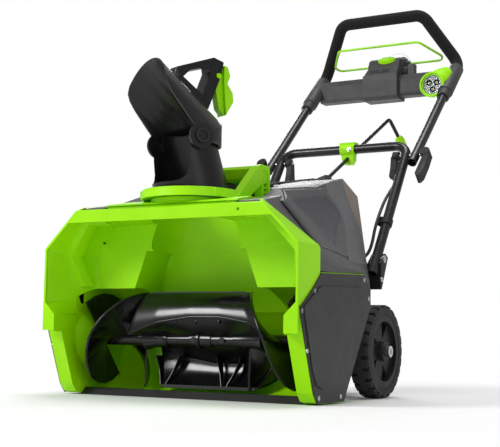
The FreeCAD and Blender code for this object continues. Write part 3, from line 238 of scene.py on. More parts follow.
def plastic(name, colour, rough, grain=900.0, depth=0.00008, strength=0.35, coat=0.0, vary=0.06,
            edge_paling=0.35, specular=0.3):
    """Injection-moulded plastic: fine spark-eroded grain, faint waviness, slightly uneven gloss."""
    material, nodes, links, shader = new_material(name)
    links.new(tinted(nodes, links, colour, vary, 9.0, edge_paling), shader.inputs["Base Color"])
    fine = noise(nodes, links, grain, 2.0)
    wave = noise(nodes, links, 14.0, 1.0)
    gloss = noise(nodes, links, 35.0, 5.0)
    uneven_gloss(nodes, links, shader, gloss, rough * 0.88, rough * 1.14)
    shader.inputs["Coat Weight"].default_value = coat
    shader.inputs["Coat Roughness"].default_value = 0.12
    shader.inputs["Specular IOR Level"].default_value = specular
    add_bumps(nodes, links, shader, [(wave.outputs["Fac"], 0.0006, 0.12),
                                     (fine.outputs["Fac"], depth, strength)])
    return material


def painted_tube(name, colour, rough):
    """Powder-coated tube: orange-peel skin under a gloss coat."""
    material, nodes, links, shader = new_material(name)
    links.new(tinted(nodes, links, colour, 0.15, 20.0, 0.3), shader.inputs["Base Color"])
    peel = noise(nodes, links, 420.0, 2.0)
    gloss = noise(nodes, links, 60.0, 4.0)
    uneven_gloss(nodes, links, shader, gloss, rough * 0.8, rough * 1.25)
    shader.inputs["Coat Weight"].default_value = 0.12
    shader.inputs["Coat Roughness"].default_value = 0.1
    shader.inputs["Specular IOR Level"].default_value = 0.35
    add_bumps(nodes, links, shader, [(peel.outputs["Fac"], 0.00008, 0.25)])
    return material


def foam(name, colour):
    """Closed-cell foam: matt, pitted, with a soft sheen."""
    material, nodes, links, shader = new_material(name)
    links.new(tinted(nodes, links, colour, 0.22, 160.0), shader.inputs["Base Color"])
    cells = nodes.new("ShaderNodeTexVoronoi")
    cells.inputs["Scale"].default_value = 900.0
    where = nodes.new("ShaderNodeTexCoord")
    links.new(where.outputs["Object"], cells.inputs["Vector"])
    soft = noise(nodes, links, 60.0, 4.0)
    shader.inputs["Roughness"].default_value = 0.9
    shader.inputs["Specular IOR Level"].default_value = 0.12
    shader.inputs["Sheen Weight"].default_value = 0.04
    shader.inputs["Sheen Roughness"].default_value = 0.6
    add_bumps(nodes, links, shader, [(soft.outputs["Fac"], 0.0005, 0.3),
                                     (cells.outputs["Distance"], 0.0003, 0.5)])
    return material


def rubber(name, colour, rough=0.75):
    material, nodes, links, shader = new_material(name)
    links.new(tinted(nodes, links, colour, 0.2, 40.0, 0.25), shader.inputs["Base Color"])
    fine = noise(nodes, links, 600.0, 6.0)
    dust = noise(nodes, links, 25.0, 6.0)
    uneven_gloss(nodes, links, shader, dust, rough * 0.8, rough * 1.15)
    add_bumps(nodes, links, shader, [(fine.outputs["Fac"], 0.00015, 0.5)])
    return material


def metal(name, colour, rough, stretch=(1, 1, 1), strength=0.25):
    """Machined or plated metal with fine turning marks along the stretched axis."""
    material, nodes, links, shader = new_material(name)
    links.new(tinted(nodes, links, colour, 0.1, 30.0), shader.inputs["Base Color"])
    shader.inputs["Metallic"].default_value = 1.0
    lines = noise(nodes, links, 500.0, 3.0, 0.6, stretch)
    uneven_gloss(nodes, links, shader, lines, rough * 0.75, rough * 1.3)
    add_bumps(nodes, links, shader, [(lines.outputs["Fac"], 0.00005, strength)])
    return material


def clear_lens(name):
    material, nodes, links, shader = new_material(name)
    links.new(tinted(nodes, links, (0.93, 0.95, 0.97), 0.02, 50.0), shader.inputs["Base Color"])
    ripple = noise(nodes, links, 160.0, 1.0)
    shader.inputs["Roughness"].default_value = 0.06
    shader.inputs["Transmission Weight"].default_value = 1.0
    shader.inputs["IOR"].default_value = 1.08
    add_bumps(nodes, links, shader, [(ripple.outputs["Fac"], 0.0002, 0.15)])
    return material


def make_materials():
    return {
        "green": plastic("green_plastic", (0.31, 0.74, 0.0), 0.42, depth=0.00005, strength=0.22,
                         vary=0.04, edge_paling=0.2, specular=0.18),
        "green_paint": painted_tube("green_paint", (0.28, 0.66, 0.0), 0.3),
        "gray": plastic("gray_plastic", (0.078, 0.077, 0.08), 0.46),
        "housing": plastic("housing_plastic", (0.115, 0.115, 0.12), 0.42),
        "panel": plastic("panel_plastic", (0.052, 0.05, 0.064), 0.38, specular=0.35),
        "side": plastic("side_plastic", (0.032, 0.03, 0.03), 0.42, specular=0.25),
        "console": plastic("console_plastic", (0.044, 0.044, 0.046), 0.5),
        "chute": plastic("chute_plastic", (0.0065, 0.0055, 0.007), 0.34, depth=0.00006, strength=0.25,
                         coat=0.1, vary=0.15, edge_paling=0.15),
        "auger": plastic("auger_plastic", (0.004, 0.0035, 0.0045), 0.2, depth=0.00004, strength=0.15,
                         coat=0.1, vary=0.2, edge_paling=0.1, specular=0.4),
        "black": plastic("black_plastic", (0.012, 0.012, 0.013), 0.5, specular=0.25),
        "tray": plastic("tray_plastic", (0.03, 0.03, 0.031), 0.5),
        "lid": plastic("lid_plastic", (0.21, 0.17, 0.14), 0.36, vary=0.14),
        "tube": painted_tube("black_tube", (0.006, 0.006, 0.0065), 0.3),
        "foam": foam("foam", (0.011, 0.011, 0.011)),
        "tyre": rubber("tyre_rubber", (0.018, 0.018, 0.019), 0.82),
        "rubber": rubber("black_rubber", (0.008, 0.008, 0.008), 0.6),
        "steel": metal("plated_steel", (0.62, 0.62, 0.63), 0.3, (1, 14, 14)),
        "cast": metal("cast_aluminium", (0.6, 0.6, 0.62), 0.45),
        "copper": metal("copper_wire", (0.75, 0.36, 0.16), 0.35, (12, 1, 1)),
        "lens": clear_lens("clear_lens"),
        "reflector": plastic("reflector", (0.55, 0.55, 0.58), 0.25, specular=0.6),
        "led": plastic("led_phosphor", (0.9, 0.86, 0.5), 0.3, grain=1500.0),
        "white": plastic("white_plastic", (0.72, 0.72, 0.7), 0.35),
        "string": plastic("nylon_string", (0.62, 0.6, 0.55), 0.3, grain=2500.0),
    }


MATERIAL_OF = {
    "green": ["hood_shell", "carry_handle", "deflector_trigger", "crank_knob", "crank_bracket",
              "start_button", "light_housing", "chute_gear", "chute_clips"],
    "green_paint": ["bail_lever"],
    "gray": ["motor_cover"],
    "housing": ["battery_housing"],
    "side": ["belt_cover", "bearing_cover"],
    "console": ["console_body", "console_sleeves", "safety_key"],
    "chute": ["chute_tube", "deflector_hood", "deflector_frame"],
    "auger": ["auger_flights", "auger_paddles"],
    "black": ["chute_pivots", "auger_bolts", "handle_sockets", "inner_nuts", "cam_lever_right",
              "cam_lever_left", "rim_right", "rim_left", "battery_dock", "chassis_base",
              "controller_box", "battery_pack"],
    "tray": ["shaft_tray", "pinion_cover"],
    "lid": ["battery_lid"],
    "tube": ["lower_handle", "upper_handle", "crank_rod"],
    "foam": ["foam_grip"],
    "tyre": ["tyre_right", "tyre_left"],
    "rubber": ["scraper_bar", "drive_belt"],
    "steel": ["cover_screws", "wheel_axle", "axle_caps", "auger_shaft", "auger_bearings",
              "auger_pulley", "motor_pulley", "drive_shaft", "handle_base_bolts",
              "handle_pivot_bolts"],
    "cast": ["motor_can"],
    "copper": ["rotor"],
    "lens": ["light_lens"],
}
# width in metres of the rounded edge on each CAD node that shows
EDGE = {
    "hood_shell": 0.0014, "carry_handle": 0.002, "belt_cover": 0.0012, "bearing_cover": 0.0012,
    "motor_cover": 0.002, "battery_housing": 0.002, "battery_lid": 0.002, "console_body": 0.002,
    "auger_paddles": 0.001, "auger_flights": 0.0006, "scraper_bar": 0.001, "rim_right": 0.0008,
    "rim_left": 0.0008, "tyre_right": 0.0008, "tyre_left": 0.0008, "chute_tube": 0.0008,
    "deflector_hood": 0.0008, "deflector_frame": 0.0015, "deflector_trigger": 0.0022, "chassis_base": 0.0015,
    "handle_sockets": 0.002, "inner_nuts": 0.002, "cam_lever_right": 0.003, "cam_lever_left": 0.003,
    "crank_bracket": 0.0015, "light_housing": 0.0012, "shaft_tray": 0.0008, "pinion_cover": 0.001,
    "safety_key": 0.0015, "start_button": 0.0012, "console_sleeves": 0.001, "chute_clips": 0.0006,
    "crank_knob": 0.0015, "battery_pack": 0.002, "controller_box": 0.001,
}
EDGE_ANGLE = math.radians(32)
WELD_GAP = 0.00001


def round_edges(piece, width):
    """Rounded bevel along the sharp edges of a piece."""
    bevel = piece.modifiers.new("bevel", "BEVEL")
    bevel.width, bevel.segments = width, 2
    bevel.limit_method, bevel.angle_limit = "ANGLE", EDGE_ANGLE
    return bevel


def dress_cad_nodes(materials):
    for key, names in MATERIAL_OF.items():
        for name in names:
            node = NODES[name]
            node.data.materials.clear()
            node.data.materials.append(materials[key])
    for name, width in EDGE.items():
        node = NODES[name]
        weld = node.modifiers.new("weld", "WELD")
        weld.merge_threshold = WELD_GAP
        bevel = round_edges(node, width)
        bevel.use_clamp_overlap = True
        bevel.harden_normals = False


# ---- mesh helpers -------------------------------------------------------------------------------
SMOOTH_ANGLE = math.radians(35)
SAME_POINT = 1e-6


def mm(*values):
    return Vector(values) / 1000.0


def finish_piece(name, bm, material, body, bevel=0.0):
    """Turns a bmesh into a piece that rides on a body."""
    bmesh.ops.remove_doubles(bm, verts=bm.verts, dist=SAME_POINT)
    bmesh.ops.recalc_face_normals(bm, faces=bm.faces)
    mesh = bpy.data.meshes.new(name)
    bm.to_mesh(mesh)
    bm.free()
    mesh.polygons.foreach_set("use_smooth", [True] * len(mesh.polygons))
    mesh.set_sharp_from_angle(angle=SMOOTH_ANGLE)
    piece = bpy.data.objects.new(name, mesh)
    bpy.context.scene.collection.objects.link(piece)
    mesh.materials.append(MATERIALS[material])
    if bevel:
        round_edges(piece, bevel)
    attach(piece, body)
    return piece


def frame_about(direction):
    """The direction's unit vector and two unit vectors across it."""
    ahead = Vector(direction).normalized()
    side = ahead.cross(Vector((0, 0, 1)) if abs(ahead.z) < 0.9 else Vector((1, 0, 0))).normalized()
    return ahead, side, side.cross(ahead).normalized()


def add_rings(bm, rings, caps=True):
    """Skins a list of closed rings of points, end to end."""
    made = [[bm.verts.new(p) for p in ring] for ring in rings]
    count = len(made[0])
    for a, b in zip(made, made[1:]):
        for i in range(count):
            j = (i + 1) % count
            bm.faces.new((a[i], a[j], b[j], b[i]))
    if caps:
        bm.faces.new(made[0][::-1])
        bm.faces.new(made[-1])


def add_strips(bm, rows):
    """Skins rows of equally many points into an open sheet."""
    grid = [[bm.verts.new(p) for p in row] for row in rows]
    for a, b in zip(grid, grid[1:]):
        for k in range(len(a) - 1):
            bm.faces.new((a[k], a[k + 1], b[k + 1], b[k]))


def circle(centre, side, up, radius, steps):
    """Ring of points round a centre, in the plane of two unit vectors."""
    turns = [2 * math.pi * i / steps for i in range(steps)]
    return [centre + (side * math.cos(a) + up * math.sin(a)) * radius for a in turns]


def lathe(bm, at, direction, profile, steps=40):
    """Solid of revolution; profile is (distance along, radius) from end to end."""
    ahead, side, up = frame_about(direction)
    add_rings(bm, [circle(Vector(at) + ahead * along, side, up, radius, steps) for along, radius in profile])


def screw_head(bm, at, direction, radius, height):
    """Domed screw head with a round socket."""
    rim, socket = radius * 0.86, radius * 0.45
    lathe(bm, at, direction, [(-height * 0.5, radius), (height * 0.55, radius), (height * 0.9, rim),
                              (height, rim * 0.8), (height, socket), (height * 0.35, socket * 0.98)], 30)


def tube_piece(name, points, radius, material, body):
    """Round bar along a smooth NURBS line, made into a mesh."""
    curve = bpy.data.curves.new(name + "_line", "CURVE")
    curve.dimensions = "3D"
    spline = curve.splines.new("NURBS")
    spline.points.add(len(points) - 1)
    for point, place in zip(spline.points, points):
        point.co = (*place, 1)
    spline.order_u = 3
    spline.use_endpoint_u = True
    curve.resolution_u = 10
    curve.bevel_depth, curve.bevel_resolution = radius, 5
    curve.use_fill_caps = True
    line = bpy.data.objects.new(name + "_line", curve)
    bpy.context.scene.collection.objects.link(line)
    mesh = bpy.data.meshes.new_from_object(line)
    bpy.data.objects.remove(line)
    mesh.materials.clear()
    mesh.materials.append(MATERIALS[material])
    mesh.polygons.foreach_set("use_smooth", [True] * len(mesh.polygons))
    piece = bpy.data.objects.new(name, mesh)
    bpy.context.scene.collection.objects.link(piece)
    if body:
        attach(piece, body)
    return piece


# ---- control cable ------------------------------------------------------------------------------
CABLE = [(158, 880, 733), (166, 852, 712), (170.5, 820, 684), (170.5, 784, 648), (170, 748, 611),
         (169, 712, 582), (166, 682, 558), (162, 655, 530), (156, 628, 500), (150, 602, 472),
         (146, 574, 446), (146, 545, 424), (148, 519, 401), (150, 496, 378), (150, 478, 352),
         (150.5, 466, 326), (149, 456, 306), (143, 450, 292), (134, 442, 283)]
CABLE_R = 0.0035
LEG_FOOT, LEG_TOP = mm(162, 456, 281), mm(162, 647, 562)
TUBE_R = 0.011
CLIP_ALONG = 0.106                    # from the leg's foot
CLIP_HALF, CLIP_THICK = 0.008, 0.0022
CLIP_CABLE = mm(146, 545, 424)        # the cable's middle where the clip holds it


def make_cable():
    cable = tube_piece("cable_line", [mm(*p) for p in CABLE], CABLE_R, "rubber", None)
    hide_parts("control_cable")
    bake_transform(cable)


def make_cable_clip():
    """Strap round the leg and the cable beside it."""
    way = (LEG_TOP - LEG_FOOT).normalized()
    at_leg = LEG_FOOT + way * CLIP_ALONG
    across = Vector((1, 0, 0))
    up = way.cross(across).normalized()
    gap = CLIP_CABLE - at_leg
    cx, cy = gap.dot(across), gap.dot(up)
    spread = math.hypot(cx, cy)
    towards = math.atan2(cy, cx)
    leg_r, cable_r = TUBE_R + 0.0002, CABLE_R + 0.0003
    lean = math.acos((leg_r - cable_r) / spread)

    def outline(extra):
        """Two arcs, round the leg and round the cable, joined by straight runs."""
        points = []
        for k in range(29):
            angle = towards + lean + (2 * math.pi - 2 * lean) * k / 28
            points.append((leg_r + extra) * Vector((math.cos(angle), math.sin(angle))))
        for k in range(13):
            angle = towards - lean + 2 * lean * k / 12
            turn = Vector((math.cos(angle), math.sin(angle)))
            points.append(Vector((cx, cy)) + (cable_r + extra) * turn)
        return points

    bm = bmesh.new()
    rings = []
    for extra, along in ((0, -CLIP_HALF), (CLIP_THICK, -CLIP_HALF), (CLIP_THICK, CLIP_HALF),
                         (0, CLIP_HALF), (0, -CLIP_HALF)):
        rings.append([at_leg + way * along + across * p.x + up * p.y for p in outline(extra)])
    add_rings(bm, rings, caps=False)
    finish_piece("cable_clip", bm, "black", "machine", 0.0006)


# ---- headlight ----------------------------------------------------------------------------------
LIGHT = mm(153.5, 822, 744)
REFLECTOR_R = 0.0236
RIM_BEHIND, RIM_DEPTH = 0.0095, 0.0042    # of the reflector, behind the light's front
BOWL_DEPTH, CUP_DEPTH = 0.0006, 0.0024
LED_SPOTS = [(-0.0098, 0.0062), (0.0098, 0.0062), (0.0, -0.0106)]
CUP_R = 0.0088


def reflector_depth(x, z):
    """How far the reflector's surface lies behind its rim: three cups in a shallow bowl."""
    depth = BOWL_DEPTH * (1 - (math.hypot(x, z) / REFLECTOR_R) ** 2)
    for sx, sz in LED_SPOTS:
        r = math.hypot(x - sx, z - sz)
        if r < CUP_R:
            depth = max(depth, CUP_DEPTH * (1 - (r / CUP_R) ** 2) ** 0.55)
    return depth


def make_reflector():
    bm = bmesh.new()
    rings, steps = 46, 96
    front = LIGHT.y + RIM_BEHIND
    grid = []
    for i in range(rings + 1):
        r = REFLECTOR_R * (1 - 0.98 * i / rings)
        row = []
        for k in range(steps):
            a = 2 * math.pi * k / steps
            x, z = r * math.cos(a), r * math.sin(a)
            row.append(Vector((LIGHT.x + x, front + reflector_depth(x, z), LIGHT.z + z)))
        grid.append(row)
    rim = [Vector((p.x, front + RIM_DEPTH, p.z)) for p in grid[0]]
    add_rings(bm, [rim] + grid)
    finish_piece("lamp_reflector", bm, "reflector", "upper_handle")
    for index, (sx, sz) in enumerate(LED_SPOTS):
        spot = Vector((LIGHT.x + sx, front, LIGHT.z + sz))
        bm = bmesh.new()
        lathe(bm, spot + Vector((0, 0.0035, 0)), (0, -1, 0),
              [(0, 0.0046), (0.0014, 0.0044), (0.0024, 0.0034), (0.003, 0.0018), (0.0031, 0.0004)], 28)
        finish_piece(f"led_{index + 1}", bm, "led", "upper_handle")
        bm = bmesh.new()
        lathe(bm, spot + Vector((0, 0.0012, 0)), (0, -1, 0),
              [(0.0, CUP_R + 0.0002), (0.0013, CUP_R), (0.0015, CUP_R - 0.0005), (0.0013, CUP_R - 0.001),
               (0.0, CUP_R - 0.0012)], 48)
        finish_piece(f"led_ring_{index + 1}", bm, "white", "upper_handle")


# ---- console ------------------------------------------------------------------------------------
KEY_LOOP = [(70, 905, 821), (67, 903, 836), (52, 899, 849), (30, 896, 853), (8, 897, 846), (-2, 899, 838),
            (10, 900, 836), (34, 900, 840), (56, 904, 838), (68, 907, 826), (71, 908, 821)]
STRING_R = 0.00055
WEDGE = [(-46, 858.5, 791), (46, 858.5, 791), (-46, 888, 796), (46, 888, 796),
         (-33, 894, 838), (42, 894, 838), (-33, 903, 841), (42, 903, 841)]
WEDGE_LOW, WEDGE_HIGH = mm(0, 858.5, 791), mm(0, 894, 838)
# of each slot in the wedge: left and right end, and distance up the slope in metres
SLOTS = [(-33, 22, 0.011), (-33, -6, 0.019), (2, 22, 0.019)]
SLOT_HALF = 0.0017
BUTTON_AT, BUTTON_WAY = mm(6, 893, 834), Vector((0, -0.56, 0.83)).normalized()
BUTTON_WIDE, BUTTON_DEEP = 0.024, 0.0125    # half sizes
# height above the button's middle, and share of its full size
BUTTON_CROWN = [(-0.006, 1.0), (0.004, 1.0), (0.0065, 0.95), (0.008, 0.84), (0.0084, 0.6),
                (0.0078, 0.3), (0.0072, 0.05)]


def make_key_loop():
    tube_piece("key_loop", [mm(*p) for p in KEY_LOOP], STRING_R, "string", "safety_key")


def make_console_wedge():
    """Sloping panel below the start button, with its slots."""
    bm = bmesh.new()
    for corner in WEDGE:
        bm.verts.new(mm(*corner))
    bmesh.ops.convex_hull(bm, input=bm.verts)
    finish_piece("console_wedge", bm, "console", "upper_handle", 0.0018)
    way = (WEDGE_HIGH - WEDGE_LOW).normalized()
    out = Vector((0, -way.z, way.y))
    for index, (x0, x1, along) in enumerate(SLOTS):
        bm = bmesh.new()
        ring = [WEDGE_LOW + way * (along + w) + Vector((x / 1000, 0, 0))
                for x, w in ((x0, -SLOT_HALF), (x1, -SLOT_HALF), (x1, SLOT_HALF), (x0, SLOT_HALF))]
        add_rings(bm, [[p - out * 0.001 for p in ring], [p + out * 0.0008 for p in ring]])
        finish_piece(f"console_slot_{index + 1}", bm, "black", "upper_handle", 0.0004)


def make_start_cap():
    """Wide crowned cap of the start button."""
    side = Vector((1, 0, 0))
    deep = BUTTON_WAY.cross(side).normalized()
    bm = bmesh.new()
    turns = [2 * math.pi * k / 48 for k in range(48)]
    rings = []
    for rise, share in BUTTON_CROWN:
        rings.append([BUTTON_AT + BUTTON_WAY * rise + side * BUTTON_WIDE * share * math.cos(t)
                      + deep * BUTTON_DEEP * share * math.sin(t) for t in turns])
    add_rings(bm, rings)
    button = finish_piece("start_cap", bm, "green", "start_button")
    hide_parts("start_button")


# ---- chute drive and crossbar -------------------------------------------------------------------
JOINT_AT, SHAFT_FRONT, CRANK_END = mm(0, 530, 469), mm(0, 52.75, 384.2), mm(28, 857, 673)
BOOT_RIBS, BOOT_AHEAD, BOOT_BEHIND = 5, 0.017, 0.021
BOOT_R, BOOT_TAPER, BOOT_WAVE = 0.0112, 0.0016, 0.0011
BUSHINGS_ALONG, COLLAR_ALONG = (0.186, 0.256, 0.328), 0.284    # from the shaft's front end
BRACKET_SCREW, BRACKET_BACK = mm(17, 632.2, 560), mm(17, 636, 560)
LEG_SCREW = (178.0, 450.0, 240.0)


def make_joint_boot():
    """Ribbed rubber boot over the universal joint; it keeps still while both shafts turn in it."""
    ahead = (JOINT_AT - SHAFT_FRONT).normalized()
    onward = (CRANK_END - JOINT_AT).normalized()
    bm = bmesh.new()
    rings, steps = [], 6 * BOOT_RIBS
    for k in range(steps + 1):
        t = k / steps
        bend = t * t * (3 - 2 * t)
        centre = (JOINT_AT - ahead * BOOT_AHEAD).lerp(JOINT_AT + onward * BOOT_BEHIND, t)
        centre += (JOINT_AT - centre).dot(Vector((0, 0, 1))) * Vector((0, 0, 0.15)) * math.sin(math.pi * t)
        way = ahead.lerp(onward, bend).normalized()
        radius = BOOT_R - BOOT_TAPER * t + BOOT_WAVE * math.cos(2 * math.pi * BOOT_RIBS * t + math.pi)
        rings.append(circle(centre, *frame_about(way)[1:], radius, 36))
    add_rings(bm, rings)
    finish_piece("joint_boot", bm, "rubber", "machine")


def make_tray_details():
    """Pale bearing shells on the tray's blocks and a pale collar round the shaft."""
    ahead = (JOINT_AT - SHAFT_FRONT).normalized()
    bm = bmesh.new()
    for along in BUSHINGS_ALONG:
        lathe(bm, SHAFT_FRONT + ahead * along, ahead,
              [(-0.0035, 0.0058), (-0.0035, 0.0078), (-0.003, 0.0082), (0.003, 0.0082), (0.0035, 0.0078),
               (0.0035, 0.0058)], 32)
    finish_piece("shaft_bushings", bm, "white", "machine")
    bm = bmesh.new()
    lathe(bm, SHAFT_FRONT + ahead * COLLAR_ALONG, ahead,
          [(-0.016, 0.0053), (-0.0155, 0.0066), (0.0155, 0.0066), (0.016, 0.0053)], 32)
    finish_piece("shaft_collar", bm, "white", "drive_shaft")


def make_bracket_screw():
    bm = bmesh.new()
    ahead = (0, -1, 0.1)
    screw_head(bm, BRACKET_SCREW, ahead, 0.0042, 0.003)
    lathe(bm, BRACKET_BACK, ahead, [(0, 0.0052), (0.0042, 0.0052)], 24)
    finish_piece("bracket_screw", bm, "steel", "machine")


def make_leg_screws():
    """Screws through the leg sockets on both sides of the housing's rear."""
    bm = bmesh.new()
    x, y, z = LEG_SCREW
    for sign in (1, -1):
        screw_head(bm, mm(sign * x, y, z), (sign, 0, 0), 0.005, 0.003)
    finish_piece("socket_screws", bm, "steel", "machine")


# ---- gray covers --------------------------------------------------------------------------------
# y, then x and z of the lower and the upper edge of the sloping side of the covers
SLOPE = [(-36, 266.5, 268.5, 196, 353), (34, 250, 268, 152, 386), (150, 220, 268, 150, 403),
         (186, 206, 268, 150, 407), (270, 182, 270, 142, 430), (360, 167, 272, 126, 448),
         (430, 152, 275, 130, 418)]


def slope_point(y, t, sign=1):
    for (y0, *a), (y1, *b) in zip(SLOPE, SLOPE[1:]):
        if y <= y1:
            break
    k = (y - y0) / (y1 - y0)
    lx, lz, ux, uz = (p + (q - p) * k for p, q in zip(a, b))
    return mm(sign * (lx + (ux - lx) * t), y, lz + (uz - lz) * t)


def slope_out(y, t, sign=1):
    along = slope_point(y + 1, t, sign) - slope_point(y - 1, t, sign)
    up = slope_point(y, t + 0.01, sign) - slope_point(y, t - 0.01, sign)
    out = along.cross(up).normalized()
    return out if out.x * sign > 0 else -out


def ramp(value, low, high):
    t = min(max((value - low) / (high - low), 0), 1)
    return t * t * (3 - 2 * t)


# corners of the recessed panel, as y and the share of the way up the slope
PANEL = [(22, 0.80), (200, 0.87), (284, 0.57), (112, 0.07)]
# front edge of the bordered area, and its rear edge as share of the way up, then y
RELIEF_FRONT = -30
RELIEF_REAR = [(0.0, 257), (0.5, 295), (0.83, 234), (1.0, 206)]
SLOPE_MM = 150.0              # about the length of the slope from its lower to its upper edge
BORDER_H, RELIEF_SKIN = 0.0034, 0.0003
RELIEF_LOW, RELIEF_HIGH = 0.03, 0.97
BORDER_RUN, FRONT_STRETCH = 4, 4      # mm over which the border rises, and how much longer in front
PANEL_IN, PANEL_OUT = -9, 2           # mm from the panel's outline where the border ends and is full


def side_name(sign):
    return "right" if sign > 0 else "left"


def thicken(piece, thickness):
    solid = piece.modifiers.new("solid", "SOLIDIFY")
    solid.thickness, solid.offset = thickness, 0


def along_line(line, t):
    for (t0, a), (t1, b) in zip(line, line[1:]):
        if t <= t1:
            break
    return a + (b - a) * (t - t0) / (t1 - t0)


def panel_distance(y, t):
    """Distance from the panel's outline in mm, below zero inside it."""
    place = Vector((y, t * SLOPE_MM))
    corners = [Vector((cy, ct * SLOPE_MM)) for cy, ct in PANEL]
    inside, nearest = True, 1e9
    for a, b in zip(corners, corners[1:] + corners[:1]):
        run = b - a
        k = min(max((place - a).dot(run) / run.length_squared, 0), 1)
        nearest = min(nearest, (place - a - run * k).length)
        if run.x * (place.y - a.y) - run.y * (place.x - a.x) > 0:
            inside = False
    return -nearest if inside else nearest


def make_cover_relief(sign):
    """Raised border round a recessed panel on the sloping side of the motor cover."""
    rows, columns = 60, 110
    bm = bmesh.new()
    grid = []
    for i in range(rows + 1):
        t = RELIEF_LOW + (RELIEF_HIGH - RELIEF_LOW) * i / rows
        front, rear = RELIEF_FRONT, along_line(RELIEF_REAR, t)
        row = []
        for k in range(columns + 1):
            y = front + (rear - front) * k / columns
            edge = min((y - front) / FRONT_STRETCH, rear - y,
                       (t - RELIEF_LOW) * SLOPE_MM, (RELIEF_HIGH - t) * SLOPE_MM)
            share = ramp(edge, 0, BORDER_RUN) * ramp(panel_distance(y, t), PANEL_IN, PANEL_OUT)
            height = RELIEF_SKIN + BORDER_H * share
            row.append(bm.verts.new(slope_point(y, t, sign) + slope_out(y, t, sign) * height))
        grid.append(row)
    for i, (a, b) in enumerate(zip(grid, grid[1:])):
        t = RELIEF_LOW + (RELIEF_HIGH - RELIEF_LOW) * (i + 0.5) / rows
        front, rear = RELIEF_FRONT, along_line(RELIEF_REAR, t)
        for k in range(columns):
            face = bm.faces.new((a[k], a[k + 1], b[k + 1], b[k]))
            y = front + (rear - front) * (k + 0.5) / columns
            face.material_index = 1 if panel_distance(y, t) < -1 else 0
    piece = finish_piece(f"cover_relief_{side_name(sign)}", bm, "gray", "machine")
    piece.data.materials.append(MATERIALS["panel"])
    thicken(piece, 0.0008)


# share of the way up the slope, then y
SEAM = [(0.0, 262), (0.25, 282), (0.5, 299), (0.66, 268), (0.83, 239), (0.98, 210)]
SEAM_R = 0.0009


def make_housing_seam(sign):
    """Dark parting line between the motor cover and the battery housing."""
    points = [slope_point(y, t, sign) + slope_out(y, t, sign) * RELIEF_SKIN for t, y in SEAM]
    tube_piece(f"housing_seam_{side_name(sign)}", points, SEAM_R, "black", "machine")


# x, y, z along the hood's rear edge, and along a line on the motor cover behind it
APRON_FRONT = [(265.0, -38.5, 268), (190.5, -107.0, 344.8), (141, -107.0, 344.8)]
APRON_REAR = [(257.0, -6, 268), (175.5, -6, 365.4), (141, -6, 365.4)]


def make_apron(sign):
    """Gray strip that closes the covers to the hood's slanted rear edge."""
    along, across = 10, 8
    edges = []
    for line in (APRON_FRONT, APRON_REAR):
        corners = [mm(sign * x, y, z) for x, y, z in line]
        edge = [a.lerp(b, k / along) for a, b in zip(corners, corners[1:]) for k in range(along)]
        edges.append(edge + [corners[-1]])
    bm = bmesh.new()
    add_strips(bm, [[p.lerp(q, j / across) for p, q in zip(*edges)] for j in range(across + 1)])
    piece = finish_piece(f"cover_apron_{side_name(sign)}", bm, "gray", "machine")
    thicken(piece, 0.0022)


CHUTE_AT = mm(0, -30, 0)
# radius from the chute's axis and height, in metres
GUARD = [(0.0894, 0.3612), (0.0894, 0.3768), (0.0898, 0.3776), (0.0912, 0.3776), (0.0918, 0.377),
         (0.0936, 0.3612)]
GUARD_OPENING = math.radians(38)


def make_gear_guard():
    """Low wall on the deck in front of the crown gear, open where the pinion meets it."""
    steps = 96
    bm = bmesh.new()
    rings = []
    for k in range(steps + 1):
        a = math.pi / 2 + GUARD_OPENING + (2 * math.pi - 2 * GUARD_OPENING) * k / steps
        rings.append([CHUTE_AT + Vector((r * math.cos(a), r * math.sin(a), z)) for r, z in GUARD])
    add_rings(bm, rings)
    finish_piece("gear_guard", bm, "green", "machine")


# ---- auger --------------------------------------------------------------------------------------
# x, then turn in degrees about the shaft
FLIGHT_LINE = [(112, 92), (130, 68), (150, 42), (168, 22), (186, 0), (198, -30), (206, -62), (212, -95),
               (216, -130)]
AUGER_Z, FLIGHT_R = 0.106, 0.087


def make_flight_rims():
    """Rounded bead round the edge of each flight."""
    for side, sign in (("right", 1), ("left", -1)):
        for half, turn in (("a", 0), ("b", 180)):
            points = []
            for x, angle in FLIGHT_LINE:
                a = math.radians(angle + turn)
                points.append(Vector((sign * x / 1000, -FLIGHT_R * math.cos(a),
                                      AUGER_Z + FLIGHT_R * math.sin(a))))
            tube_piece(f"flight_rim_{side}_{half}", points, RIM_R, "auger", "auger")


# x of the left and right ends of each blade at its root, ridge and tip
BLADE_ENDS = {"upper": ((-112, 140), (-131, 150), (-112, 112)),
              "lower": ((-104, 140), (-104, 150), (-80, 128))}
# share of the way along the blade, then the ridge's height over the shaft
RIDGE = [(0.0, 9), (0.21, 31), (0.48, 42), (0.72, 42), (0.93, 32), (1.0, 20)]
ROOT_Y, ROOT_Z = -5, 8
RIDGE_Y = -36
BEND_Y, BEND_SHARE = -33, 0.62        # control point of the curve from ridge to tip
TIP_Y, TIP_Z = -2, 86
RIB_X = {"upper": (-52, 40), "lower": (-74, 58)}
RIB_WIDE, RIB_NARROW = 26, 5          # half the space between two ribs, at their foot and tip
RIB_LOW, RIB_HIGH = 30, 84
RIB_DEPTH, RIB_TIP_DEPTH = 20, 1.5
RIB_FOOT_Y, RIB_TIP_Y = -34, -1
STRIP_INSET, STRIP_FOOT, STRIP_BASE, STRIP_RISE = 4, 83, 84, 5.5
BLADE_THICK, RIDGE_R, RIM_R = 0.0034, 0.0021, 0.0024


def on_auger(half, x, y, z):
    """Point at x, y, z in mm from the shaft, turned half round for the second blade."""
    sign = -1 if half else 1
    return Vector((x, sign * y, AUGER_Z * 1000 + sign * z)) / 1000


